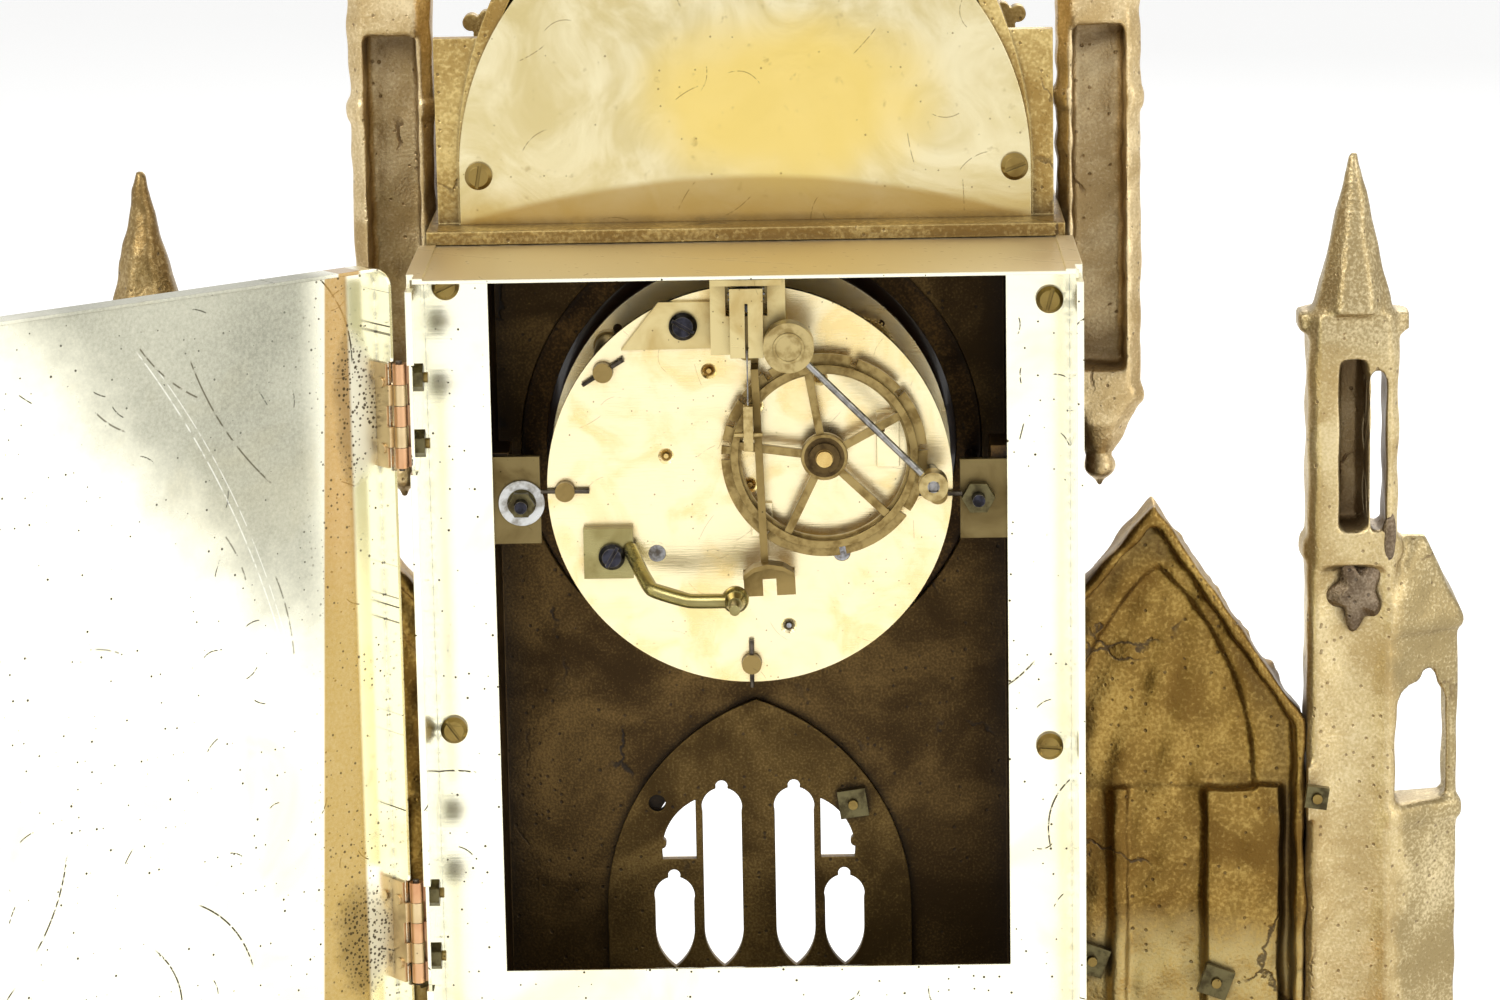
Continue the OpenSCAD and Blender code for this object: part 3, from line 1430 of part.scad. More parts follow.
module minute_wheel() {
  color(brass) on_dial(minute_at) difference() {
    union() {
      slab(cannon_y - 0.2, 1.2) toothed(minute_teeth, cannon_m, minute_phase);
      rod_y(1.8, cannon_y - 1.4, cannon_y);
      pinion(cannon_y - 1.3, 2.6, minute_leaves, hour_m, minute_pinion_phase);
    }
    rod_y(0.85, hour_wheel_y - 5, cannon_y + 3);
  }
}

module hour_wheel() {
  color(brass) on_dial(centre_at) difference() {
    union() {
      slab(hour_wheel_y, 1.2) toothed(hour_teeth, hour_m, hour_phase);
      rod_y(2.9, hour_hand_y - 1.2, hour_wheel_y);
    }
    rod_y(1.96, hour_hand_y - 5, hour_wheel_y + 3);
  }
}

// Striking train

strike_barrel_phase = toward(strike_barrel_at, strike_second_at);
strike_second_pinion_phase = mesh_phase(strike_barrel_at, strike_second_at, strike_barrel_teeth,
  strike_second_leaves, strike_barrel_phase);
strike_second_phase = toward(strike_second_at, pin_wheel_at);
pin_pinion_phase = mesh_phase(strike_second_at, pin_wheel_at, strike_second_teeth, pin_leaves, strike_second_phase);
pin_phase = toward(pin_wheel_at, warning_at);
warning_pinion_phase = mesh_phase(pin_wheel_at, warning_at, pin_teeth, warning_leaves, pin_phase);
warning_phase = toward(warning_at, fly_at);
fly_pinion_phase = mesh_phase(warning_at, fly_at, warning_teeth, fly_leaves, warning_phase);
count_front_y = plate_back_y + 4.6;
count_back_y = plate_back_y + 7.8;

module strike_second_wheel() {
  color(brass) on_dial(strike_second_at) {
    rod_y(1.15, inner_front_y + end_shake, inner_back_y - end_shake);
    rod_y(pivot_r, plate_front_y, inner_front_y + 1);
    rod_y(count_arbor_r, inner_back_y - 1, count_back_y + 3);
    pinion(great_y + 0.4, great_t + 0.8, strike_second_leaves, strike_barrel_m, strike_second_pinion_phase);
    train_wheel(second_y, 1.5, strike_second_teeth, strike_second_m, strike_second_phase, 3.6, 1.8);
  }
}

// Arc lengths between the notches of the rim: one blow at each half hour and
// the hour's own number of blows between them
count_total = 90;
function blows_before(n) = n == 0 ? 0 : blows_before(n - 1) + n + 1;

module count_wheel() {
  ring_r = count_r * 0.905;
  color(polished) on_dial(strike_second_at) difference() {
    union() {
      // Rim with its notches
      slab(count_front_y + 1.4, 1.4) difference() {
        circle(count_r, $fn = 128);
        circle(ring_r - 2.4);
        for (n = [0:11]) rotate(blows_before(n) * 360 / count_total) translate([count_r - 2, -0.7])
          square([4, 1.4 + 360 / count_total * 0.03 * count_r * 3.1416 / 180]);
      }
      slab(count_back_y, count_back_y - count_front_y - bite) difference() {
        circle(ring_r, $fn = 128);
        circle(ring_r - 1.7);
      }
      slab(count_back_y - 0.6, 1.6) difference() {
        circle(ring_r - 1);
        crossings(5.5, ring_r - 1.5, 5, 1.9, 80);
      }
      rod_y(5.4, count_front_y + 0.4, count_back_y + 0.4);
      rod_y(3.6, count_front_y + 0.4, count_back_y + 1.6);
    }
    rod_y(count_arbor_r + 0.02, count_front_y - 1, count_back_y + 4);
  }
}

module pin_wheel() {
  color(brass) on_dial(pin_wheel_at) {
    arbor(1);
    pinion(second_y + 0.6, 2.7, pin_leaves, strike_second_m, pin_pinion_phase);
    train_wheel(centre_y, wheel_t, pin_teeth, pin_m, pin_phase, 3, 1.8, 13.5);
    for (i = [0:9]) rotate([0, 18 + i * 36, 0]) at_xz([9.6, 0]) rod_y(0.5, centre_y - bite, centre_y + 3);
  }
}

module warning_wheel() {
  color(brass) on_dial(warning_at) {
    arbor(0.8);
    pinion(centre_y + 0.5, 2.2, warning_leaves, pin_m, warning_pinion_phase);
    train_wheel(warning_y, 1, warning_teeth, warning_m, warning_phase, 2, 1.2, 8.4);
    rotate([0, 30, 0]) at_xz([6.9, 0]) rod_y(0.4, warning_y - bite, warning_y + 2.4);
  }
}

module fly() {
  color(brass) on_dial(fly_at) {
    arbor(0.7);
    pinion(warning_y + 0.5, 2, fly_leaves, warning_m, fly_pinion_phase);
    translate([-6.4, escape_y - 4, -0.25]) cube([12.8, 7, 0.5]);
    rod_y(1.3, escape_y - 4, escape_y + 3);
  }
}

// Hammer on the rear end of its arbor, and the lever that the pins lift

hammer_head_at = [-9.6, 36.1];
hammer_rod_y = plate_back_y + 17;

module hammer() {
  color(brass) on_dial(hammer_head_at) difference() {
    union() {
      rod_y(hammer_head_r, hammer_rod_y - 2, hammer_rod_y + 3);
      rod_y(3.6, hammer_rod_y + 3 - bite, hammer_rod_y + 3.5);
    }
    rod_y(3, hammer_rod_y + 3.2, hammer_rod_y + 5);
  }
  color(steel) {
    d = hammer_head_at - hammer_at;
    u = d / norm(d);
    a = hammer_at + u * 3;
    b = hammer_head_at - u * (hammer_head_r - 0.5);
    translate([0, 0, dial_z]) bar([a[0], hammer_rod_y, a[1]], [b[0], hammer_rod_y, b[1]], 0.8);
    on_dial(hammer_at) {
      rod_y(hammer_arbor_r, inner_front_y + end_shake, hammer_rod_y + 2);
      rod_y(pivot_r, plate_front_y, inner_front_y + 1);
      // Tail towards the pin wheel
      rotate([0, -toward(hammer_at, pin_wheel_at), 0]) translate([0, centre_y + 0.8, -0.8]) cube([4.6, 1.6, 1.6]);
    }
  }
  color(brass) on_dial(hammer_at) difference() {
    rod_y(3.4, hammer_rod_y - 3, hammer_rod_y + 2.6);
    translate([-1.1, hammer_rod_y + 1.6, -1.1]) cube([2.2, 4, 2.2]);
  }
}

// Stand of the bell: block, bent arm and post
module bell_stand() {
  path = [[28.4, 1.7, -14], [26.4, 6, -17.2], [23, 14, -21.2], [14.2, 18.5, -23], [3.6, 21.6, -22.4]];
  color(polished) {
    on_dial([27.6, -21.3]) translate([0, plate_back_y, 0]) difference() {
      cube([11.6, stand_block_t, 12]);
      at_xz([5, 5.4]) rod_y(1.35, -1, stand_block_t + 1);
    }
    translate([0, plate_back_y, dial_z]) {
      for (i = [0:3]) bar(path[i], path[i + 1], bell_arm_r);
      for (i = [1:3]) translate(path[i]) sphere(bell_arm_r + 0.04, $fn = 32);
      translate(path[4]) {
        sphere(3.2, $fn = 48);
        cone_y(2.4, 1.6, 2.4, 5);
        rod_y(bell_pin_r, 4, 11);
      }
    }
  }
}

// Pendulum suspension and crutch

susp_y = plate_back_y + 12.4;
susp_plate_y = plate_back_y + 7.6;

module suspension_bracket() {
  color(brass) difference() {
    union() {
      on_dial() {
        // Foot on the back plate
        slab(plate_back_y + bracket_foot_t, bracket_foot_t)
          polygon([[5, 33], [5, 44], [20.6, 44], [29.4, 32.8]]);
        // Upright plate behind the chops, open above for the regulator
        slab(susp_plate_y + 2.4, 2.4) difference() {
          translate([-9, 32.9]) square([17.4, 19.1]);
          translate([-4.8, 42]) square([9.6, 11]);
        }
        // Bearing of the regulator's arbor
        slab(susp_plate_y - 3.6, 2) translate([-8.3, 44]) square([16.6, 8]);
      }
      for (x = [-8.3, 6.1]) translate([x, plate_back_y, dial_z + 33.5])
        cube([2.2, susp_plate_y + 1 - plate_back_y, 18.5]);
      // Bridge under the regulator's wheel
      for (x = [-8.3, 6.1]) translate([x, susp_plate_y + 2, dial_z + 49.6]) cube([2.2, 4, 2.2]);
      translate([-8.3, susp_y - 1.4, dial_z + 49.6]) cube([16.6, 2.8, 1.5]);
    }
    on_dial(foot_screw_at) rod_y(1.35, plate_back_y - 1, plate_back_y + 4);
    on_dial(regulator_at) rod_y(1.25, plate_back_y, susp_plate_y);
    translate([0, susp_y, dial_z + 45]) cylinder(r = 0.95, h = 8);
  }
}

// Sliding chops that grip the spring, hung on the regulator's screw
module suspension_chops() {
  color(polished) difference() {
    union() {
      for (s = [-1, 1]) translate([s > 0 ? 0.35 : -3.85, susp_y - 1.9, dial_z + 32.9])
        cube([3.5, 4, 16.2]);
      translate([-3.85, susp_y - 1.9, dial_z + 45.6]) cube([7.7, 4, 3.5]);
    }
    translate([0, susp_y, dial_z + 42]) cylinder(r = 0.95, h = 10);
  }
}

// Thin spring and the ferrule that takes the pendulum's hook
module suspension_spring() {
  color(steel) translate([-0.15, susp_y - 0.4, dial_z + 15]) cube([0.3, 2, 19.6]);
  color(brass) {
    translate([-1.1, susp_y - 0.9, dial_z + 11]) cube([2.2, 3, 10.5]);
    translate([-3.3, susp_y + 0.6, dial_z + 14.6]) rotate([0, 90, 0]) cylinder(r = 0.6, h = 6.6);
  }
}

module regulator_wheel() {
  color(steel) translate([0, susp_y, dial_z]) {
    translate([0, 0, 51.5]) linear_extrude(1.4) toothed(20, 0.4, 0);
    translate([0, 0, 45]) cylinder(r = 0.9, h = 7.5);
  }
}

// Arbor from the dial's top hole to the regulator wheel
module regulator_arbor() {
  color(steel) on_dial(regulator_at) {
    rod_y(1.2, dial_front_y - 0.2, susp_plate_y + 0.4);
    translate([-1.1, dial_front_y - 1, -1.1]) cube([2.2, 6, 2.2]);
    slab(susp_plate_y + 2, 2) toothed(20, 0.4, 0);
  }
}

module crutch() {
  strip_y = count_back_y + 1.2;
  color(brass) on_dial(pallet_at) rotate([0, 2, 0]) difference() {
    union() {
      rod_y(2.6, plate_back_y + 1.2, plate_back_y + 4.2);
      // Strip, cranked to pass behind the count wheel
      translate([-2.4, plate_back_y + 1.6, -4.2]) cube([1.8, 1.2, 4.2]);
      translate([-2.4, plate_back_y + 1.6, -4.8]) cube([1.8, strip_y + 1.2 - plate_back_y - 1.6, 1.2]);
      translate([-2.4, strip_y, -51]) cube([1.8, 1.2, 47.2]);
      // Fork: hood, and a plate slotted from below
      translate([-2.4, 0, -57.4]) {
        slab(strip_y + 1.2, 1.2) difference() {
          translate([-6, 0]) square([12, 6.4]);
          translate([-1.6, -1]) square([3.2, 5]);
        }
        slab(strip_y + 5.2, 5.2) polygon([[-6, 4.9], [-3.4, 6.6], [0, 7.3], [3.4, 6.6], [6, 4.9], [6, 6], [3.4, 7.7],
          [0, 8.4], [-3.4, 7.7], [-6, 6]]);
      }
    }
    rod_y(arbor_r, plate_back_y - 5, plate_back_y + 9);
  }
}

// Levers that let the striking off

module lifting_lever() {
  color(steel) on_dial(lifting_at) {
    rod_y(0.8, plate_front_y - 4, plate_front_y + 1.5);
    slab(plate_front_y - 1, 1.2) {
      circle(2);
      rotate(112) translate([0, -0.8]) square([12, 1.6]);
      rotate(180) translate([0, -0.8]) square([20, 1.6]);
    }
  }
}

module locking_lever() {
  color(steel) on_dial(locking_at) {
    arbor(1);
    slab(inner_back_y - 6, 1.2) {
      circle(2);
      rotate(100) translate([0, -0.7]) square([11, 1.4]);
    }
  }
}

base_plate();
plinth();
facade();
portal_tracery();
mirror([1, 0, 0]) aisle();  // aisle_left
aisle();  // aisle_right
mirror([1, 0, 0]) turret();  // turret_left
turret();  // turret_right
mirror([1, 0, 0]) tower();  // tower_left
tower();  // tower_right
gable();
gable_cover();
box();
door();
hinge_box_leaves();
hinge_door_leaves();
pins();
door_catch();
nuts();
case_screws();
movement_brackets();
movement_screws();
bezel_seat();
bezel();
bezel_glass();
dial();
hour_hand();
minute_hand();
front_plate();
back_plate();
pillars();
going_barrel();
strike_barrel();
going_winder();
strike_winder();
going_click();
strike_click();
second_wheel();
centre_wheel();
third_wheel();
escape_wheel();
pallets();
cannon_pinion();
minute_wheel();
hour_wheel();
strike_second_wheel();
count_wheel();
pin_wheel();
warning_wheel();
fly();
hammer();
bell_stand();
crutch();
suspension_bracket();
suspension_chops();
suspension_spring();
regulator_wheel();
regulator_arbor();
lifting_lever();
locking_lever();
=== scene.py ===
"""Table clock with a cathedral front, seen from behind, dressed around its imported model.

The castings get rounded, pitted sand-cast skins, the sheet brass its scratches and stains, the movement its polish,
and the dial its figures. Every length is in metres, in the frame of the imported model."""

import json
import math

import bmesh
import bpy
import numpy as np
from mathutils import Matrix, Vector


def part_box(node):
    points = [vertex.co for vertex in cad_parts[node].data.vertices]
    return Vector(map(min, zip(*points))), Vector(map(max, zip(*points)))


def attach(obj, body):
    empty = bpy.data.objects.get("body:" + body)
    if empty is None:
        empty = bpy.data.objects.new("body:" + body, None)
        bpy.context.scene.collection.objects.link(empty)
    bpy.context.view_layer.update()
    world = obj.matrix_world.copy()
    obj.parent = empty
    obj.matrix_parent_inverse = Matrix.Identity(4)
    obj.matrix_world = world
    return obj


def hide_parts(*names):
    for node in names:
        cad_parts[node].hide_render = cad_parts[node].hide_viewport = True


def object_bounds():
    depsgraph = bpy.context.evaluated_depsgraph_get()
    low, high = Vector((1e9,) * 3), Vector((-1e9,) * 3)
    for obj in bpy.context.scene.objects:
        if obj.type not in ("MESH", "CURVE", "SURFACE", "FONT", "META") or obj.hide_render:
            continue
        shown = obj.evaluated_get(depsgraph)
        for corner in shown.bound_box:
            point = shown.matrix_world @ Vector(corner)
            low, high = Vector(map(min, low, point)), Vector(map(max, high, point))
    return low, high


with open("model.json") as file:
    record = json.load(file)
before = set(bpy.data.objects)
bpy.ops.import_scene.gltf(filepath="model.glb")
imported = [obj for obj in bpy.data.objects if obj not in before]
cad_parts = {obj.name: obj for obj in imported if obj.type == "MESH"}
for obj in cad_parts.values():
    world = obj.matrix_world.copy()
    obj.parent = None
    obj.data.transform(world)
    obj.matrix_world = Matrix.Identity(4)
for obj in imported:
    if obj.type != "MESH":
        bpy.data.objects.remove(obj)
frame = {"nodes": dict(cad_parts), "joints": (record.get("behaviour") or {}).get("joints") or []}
cad_low, cad_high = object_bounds()
MM = 0.001

# Camera: it stands behind the clock and looks down on the open back of the movement.
# Its place, its turn and its focal length were fitted to the photograph, which is 1500 pixels wide.

PHOTO_WIDTH = 1500
FOCAL_IN_PIXELS = 5098.5
CAMERA_AT = Vector((-14.3, 1177.3, 490.1)) * MM
CAMERA_YAW = -0.0123
CAMERA_DOWN = 0.214
CAMERA_ROLL = -0.018


def camera_axes(yaw, down, roll):
    """Right, up and forward of a camera that looks along -Y, turned by yaw about Z, tipped down and then rolled."""
    forward = Vector((-math.sin(yaw) * math.cos(down), -math.cos(yaw) * math.cos(down), -math.sin(down)))
    level = Vector((-math.cos(yaw), math.sin(yaw), 0))
    upright = level.cross(forward)
    right = math.cos(roll) * level + math.sin(roll) * upright
    return right, right.cross(forward), forward


camera = bpy.data.objects.new("camera", bpy.data.cameras.new("camera"))
bpy.context.scene.collection.objects.link(camera)
bpy.context.scene.camera = camera
camera.data.sensor_width = 36
camera.data.lens = FOCAL_IN_PIXELS * camera.data.sensor_width / PHOTO_WIDTH
camera.data.clip_start, camera.data.clip_end = 0.05, 50
right, up, forward = camera_axes(CAMERA_YAW, CAMERA_DOWN, CAMERA_ROLL)
camera.matrix_world = Matrix.Translation(CAMERA_AT) @ Matrix((right, up, -forward)).transposed().to_4x4()

# Stage: a pale floor, a white surround and three soft lamps.
# The surround is white to the camera and to polished metal, and dimmer as a light.

FLOOR_COLOUR = (0.86, 0.86, 0.85, 1)
FLOOR_GLOW = 0.34
SURROUND_LIGHT = 0.62


class Nodes:
    """A node tree with one short call for each kind of node that the finishes use."""

    def __init__(self, tree):
        self.tree = tree

    def add(self, kind, settings=(), **sockets):
        """Adds a node. settings are its own properties; sockets go by name, or iN for the Nth, as a value or link."""
        node = self.tree.nodes.new("ShaderNode" + kind)
        for key, value in dict(settings).items():
            setattr(node, key, value)
        for key, value in sockets.items():
            numbered = key[0] == "i" and key[1:].isdigit()
            socket = node.inputs[int(key[1:])] if numbered else node.inputs[key.replace("_", " ")]
            if isinstance(value, bpy.types.NodeSocket):
                self.tree.links.new(value, socket)
            else:
                socket.default_value = value
        return node

    def place(self, offset=(0, 0, 0), turn=(0, 0, 0), scale=(1, 1, 1)):
        """Object coordinates, moved, turned and scaled for a pattern on one piece."""
        spot = self.add("TexCoord").outputs["Object"]
        return self.add("Mapping", Vector=spot, Location=offset, Rotation=turn, Scale=scale).outputs[0]

    def noise(self, where, size, detail=3, rough=0.55, warp=0.0):
        """Soft random value around 0.5 that changes over size metres."""
        made = self.add("TexNoise", Vector=where, Scale=1 / size, Detail=detail, Roughness=rough, Distortion=warp)
        return made.outputs[0]

    def maths(self, how, a, b=0.0):
        return self.add("Math", {"operation": how}, i0=a, i1=b).outputs[0]

    def times(self, a, b):
        return self.maths("MULTIPLY", a, b)

    def plus(self, a, b):
        return self.maths("ADD", a, b)

    def minus(self, a, b):
        return self.maths("SUBTRACT", a, b)

    def oval(self, x, z, at, half):
        """Square of the way out from the middle of an oval in X and Z: 0 there and 1 on its rim."""
        across = self.maths("POWER", self.maths("DIVIDE", self.minus(x, at[0]), half[0]), 2.0)
        return self.plus(across, self.maths("POWER", self.maths("DIVIDE", self.minus(z, at[1]), half[1]), 2.0))

    def band(self, value, low, high):
        """0 below low and 1 above high, with a soft step between; the other way round where high is below low."""
        sockets = {"i0": value, "i1": low, "i2": high, "i3": 0.0, "i4": 1.0}
        if low > high:
            sockets.update(i1=high, i2=low, i3=1.0, i4=0.0)
        return self.add("MapRange", {"interpolation_type": "SMOOTHSTEP"}, **sockets).outputs[0]

    def between(self, value, low, high):
        """value from 0 to 1 made to run from low to high."""
        return self.add("MapRange", i0=value, i1=0.0, i2=1.0, i3=low, i4=high).outputs[0]

    def blend(self, share, a, b, how="MIX"):
        """Colour a, covered by colour b by share."""
        made = self.add("Mix", {"data_type": "RGBA", "blend_type": how}, i0=share, i6=a, i7=b)
        return made.outputs[2]

    def split(self, vector):
        return self.add("SeparateXYZ", Vector=vector).outputs

    def join(self, x=0.0, y=0.0, z=0.0):
        return self.add("CombineXYZ", X=x, Y=y, Z=z).outputs[0]


def colour(red, green, blue):
    """A colour given as it shows on a screen, 0 to 255, as the linear value that a shader takes."""
    shown = np.array([red, green, blue]) / 255
    linear = np.where(shown <= 0.04045, shown / 12.92, ((shown + 0.055) / 1.055) ** 2.4)
    return (*linear.tolist(), 1)


def new_material(name):
    """An empty material as (material, its Nodes, its Principled shader)."""
    made = bpy.data.materials.new(name)
    made.use_nodes = True
    return made, Nodes(made.node_tree), made.node_tree.nodes["Principled BSDF"]


def link(tree, value, socket):
    tree.links.new(value, socket)


def mesh_object(name, points, faces, smooth=True):
    """An object at the origin from an array of points and an array or list of faces."""
    mesh = bpy.data.meshes.new(name)
    mesh.from_pydata(np.asarray(points, float).tolist(), [], [list(map(int, f)) for f in faces])
    mesh.polygons.foreach_set("use_smooth", np.full(len(mesh.polygons), smooth))
    mesh.update()
    made = bpy.data.objects.new(name, mesh)
    bpy.context.scene.collection.objects.link(made)
    return made


def tube_faces(rows, ring, closed=False):
    """Quads between neighbouring rings of points, row after row; closed joins the last ring to the first as well."""
    row, col = np.meshgrid(np.arange(rows if closed else rows - 1), np.arange(ring), indexing="ij")
    onward, beside = (row + 1) % rows, (col + 1) % ring
    corners = [row * ring + col, row * ring + beside, onward * ring + beside, onward * ring + col]
    return np.stack(corners, axis=-1).reshape(-1, 4)


def turn_outwards(made, join=False):
    """Turns the normals of a closed piece outwards, after its doubled points are joined where join is set."""
    whole = bmesh.new()
    whole.from_mesh(made.data)
    if join:
        bmesh.ops.remove_doubles(whole, verts=whole.verts, dist=1e-6)
        bmesh.ops.dissolve_degenerate(whole, edges=whole.edges, dist=1e-7)
    bmesh.ops.recalc_face_normals(whole, faces=whole.faces)
    whole.to_mesh(made.data)
    whole.free()


def joint_named(name):
    return next(joint for joint in frame["joints"] if joint["name"] == name)


def seen_directly(nodes):
    """1 for what the camera sees, straight, mirrored or through glass, and 0 for what lights the scene."""
    ray = nodes.add("LightPath").outputs
    bent = nodes.maths("MAXIMUM", ray["Is Glossy Ray"], ray["Is Transmission Ray"])
    return nodes.maths("MAXIMUM", ray["Is Camera Ray"], bent)


FLOOR_HALF = 4.0
floor = mesh_object(
    "floor",
    FLOOR_HALF * np.array([[-1, -1, 0], [1, -1, 0], [1, 1, 0], [-1, 1, 0]]),
    [[0, 1, 2, 3]],
)
floor_material, paint, shader = new_material("pale_floor")
shader.inputs["Base Color"].default_value = FLOOR_COLOUR
shader.inputs["Roughness"].default_value = 0.7
shader.inputs["Emission Color"].default_value = (1, 1, 1, 1)
link(paint.tree, paint.between(seen_directly(paint), 0.0, FLOOR_GLOW), shader.inputs["Emission Strength"])
floor.data.materials.append(floor_material)

world = bpy.data.worlds.new("surround")
bpy.context.scene.world = world
world.use_nodes = True
sky = Nodes(world.node_tree)
background = world.node_tree.nodes["Background"]
background.inputs["Color"].default_value = (1, 1, 1, 1)
link(world.node_tree, sky.between(seen_directly(sky), SURROUND_LIGHT, 1.0), background.inputs["Strength"])


def soft_lamp(name, at, towards, size, watts):
    lamp = bpy.data.lights.new(name, "AREA")
    lamp.size = size
    lamp.energy = watts
    made = bpy.data.objects.new(name, lamp)
    bpy.context.scene.collection.objects.link(made)
    made.location = at
    made.rotation_euler = (Vector(towards) - Vector(at)).to_track_quat("-Z", "Y").to_euler()


MIDDLE = (cad_low + cad_high) / 2
soft_lamp("key", (0.9, 1.3, 1.5), MIDDLE, 0.9, 18)
soft_lamp("fill", (-1.4, 1.0, 0.8), MIDDLE, 1.2, 9)
soft_lamp("front", (-0.6, -1.5, 1.4), MIDDLE, 1.2, 18)

# Shared effects of the finishes, each a node group with named inputs and outputs.
# They give masks and heights only; each finish below mixes them in its own strengths.


def new_group(name, inputs, outputs):
    """An empty shader group as (group, its Nodes, the values that come in, the node that takes what goes out)."""
    tree = bpy.data.node_groups.new(name, "ShaderNodeTree")
    for label, kind, value in inputs:
        socket = tree.interface.new_socket(label, in_out="INPUT", socket_type="NodeSocket" + kind)
        if value is not None:
            socket.default_value = value
    for label in outputs:
        tree.interface.new_socket(label, in_out="OUTPUT", socket_type="NodeSocketFloat")
    return tree, Nodes(tree), tree.nodes.new("NodeGroupInput").outputs, tree.nodes.new("NodeGroupOutput")


def use_group(nodes, tree, **sockets):
    """Places a group in a material and gives its outputs."""
    node = nodes.tree.nodes.new("ShaderNodeGroup")
    node.node_tree = tree
    for key, value in sockets.items():
        if isinstance(value, bpy.types.NodeSocket):
            nodes.tree.links.new(value, node.inputs[key])
        else:
            node.inputs[key].default_value = value
    return node.outputs


def flat_spot(nodes, vector, size):
    """The pattern's X and Z as a flat pair, counted in cells of size."""
    x, y, z = nodes.split(vector)
    return nodes.add(
        "VectorMath", {"operation": "DIVIDE"}, i0=nodes.join(x, z), i1=nodes.join(size, size, size)
    ).outputs[0]


def build_scratches():
    """One short bent line in each cell of a random mosaic, in the vector's X and Z plane.
    A cell's own random colour turns its line, bends it and says whether it has one."""
    tree, n, given, out = new_group(
        "scratches",
        [("Vector", "Vector", None), ("Cell", "Float", 0.01), ("Length", "Float", 0.35),
         ("Width", "Float", 0.01), ("Share", "Float", 0.5)],
        ["Mask"],
    )
    spot = flat_spot(n, given["Vector"], given["Cell"])
    cells = n.add("TexVoronoi", {"voronoi_dimensions": "2D"}, Vector=spot, Scale=1.0).outputs
    chance = n.add("SeparateColor", i0=cells["Color"]).outputs
    local = n.add("VectorMath", {"operation": "SUBTRACT"}, i0=spot, i1=cells["Position"]).outputs[0]
    turned = n.add(
        "VectorRotate", {"rotation_type": "Z_AXIS"}, Vector=local, Angle=n.times(chance[0], 6.283)
    ).outputs[0]
    along, across, _ = n.split(turned)
    bow = n.times(n.times(along, along), n.between(chance[1], -1.2, 1.2))
    off = n.maths("ABSOLUTE", n.plus(across, bow))
    line = n.minus(1.0, n.maths("DIVIDE", off, given["Width"]))
    reach = n.minus(given["Length"], n.maths("ABSOLUTE", along))
    broken = n.band(n.noise(given["Vector"], 0.0012, 2), 0.36, 0.5)
    there = n.maths("LESS_THAN", chance[2], given["Share"])
    mask = n.times(n.band(line, 0.0, 0.4), n.band(reach, 0.0, 0.06))
    mask = n.times(mask, n.times(broken, there))
    link(tree, mask, out.inputs["Mask"])
    return tree


def build_specks():
    """A round dot of random size in each cell of a random mosaic, in clusters that a broad noise picks out."""
    tree, n, given, out = new_group(
        "specks",
        [("Vector", "Vector", None), ("Cell", "Float", 0.004), ("Size", "Float", 0.16), ("Share", "Float", 0.4)],
        ["Mask"],
    )
    spot = flat_spot(n, given["Vector"], given["Cell"])
    cells = n.add("TexVoronoi", {"voronoi_dimensions": "2D"}, Vector=spot, Scale=1.0).outputs
    chance = n.add("SeparateColor", i0=cells["Color"]).outputs
    radius = n.times(given["Size"], n.between(chance[0], 0.25, 1.0))
    inside = n.minus(1.0, n.maths("DIVIDE", cells["Distance"], radius))
    cluster = n.between(n.band(n.noise(given["Vector"], 0.03, 2), 0.35, 0.65), 0.35, 1.6)
    there = n.maths("LESS_THAN", chance[1], n.times(given["Share"], cluster))
    link(tree, n.times(n.band(inside, 0.0, 0.3), there), out.inputs["Mask"])
    return tree


def build_casting():
    """Sand-cast bronze: Tone is the broad change of colour, Pits the small holes, Cracks the dark wandering lines,
    and Height the skin that all of them leave."""
    tree, n, given, out = new_group(
        "sand_cast",
        [("Vector", "Vector", None), ("Grain", "Float", 0.0009)],
        ["Tone", "Fine", "Pits", "Cracks", "Height"],
    )
    where = given["Vector"]
    fine = n.add("TexNoise", Vector=where, Scale=n.maths("DIVIDE", 1.0, given["Grain"]), Detail=3.0).outputs[0]
    broad = n.noise(where, 0.026, 5, 0.6, 0.6)
    mid = n.noise(where, 0.0065, 3)
    pit_cells = n.add("TexVoronoi", Vector=where, Scale=620.0).outputs
    chance = n.add("SeparateColor", i0=pit_cells["Color"]).outputs
    pits = n.times(n.band(pit_cells["Distance"], 0.34, 0.16),
        n.maths("LESS_THAN", chance[0], n.between(n.band(broad, 0.4, 0.7), 0.04, 0.3)),
    )
    wander = n.add("TexNoise", Vector=where, Scale=240.0, Detail=4.0).outputs["Color"]
    drift = n.add("VectorMath", {"operation": "SCALE"}, i0=wander, Scale=0.006).outputs[0]
    bent = n.add("VectorMath", {"operation": "ADD"}, i0=where, i1=drift).outputs[0]
    lines = n.add("TexVoronoi", {"feature": "DISTANCE_TO_EDGE"}, Vector=bent, Scale=38.0).outputs["Distance"]
    cracks = n.times(n.band(lines, 0.022, 0.004), n.band(n.noise(where, 0.03, 2), 0.56, 0.64))
    skin = n.plus(n.times(fine, 0.4), n.times(mid, 0.7))
    skin = n.minus(skin, n.times(n.plus(pits, cracks), 0.5))
    for label, value in [("Tone", broad), ("Fine", fine), ("Pits", pits), ("Cracks", cracks), ("Height", skin)]:
        link(tree, value, out.inputs[label])
    return tree


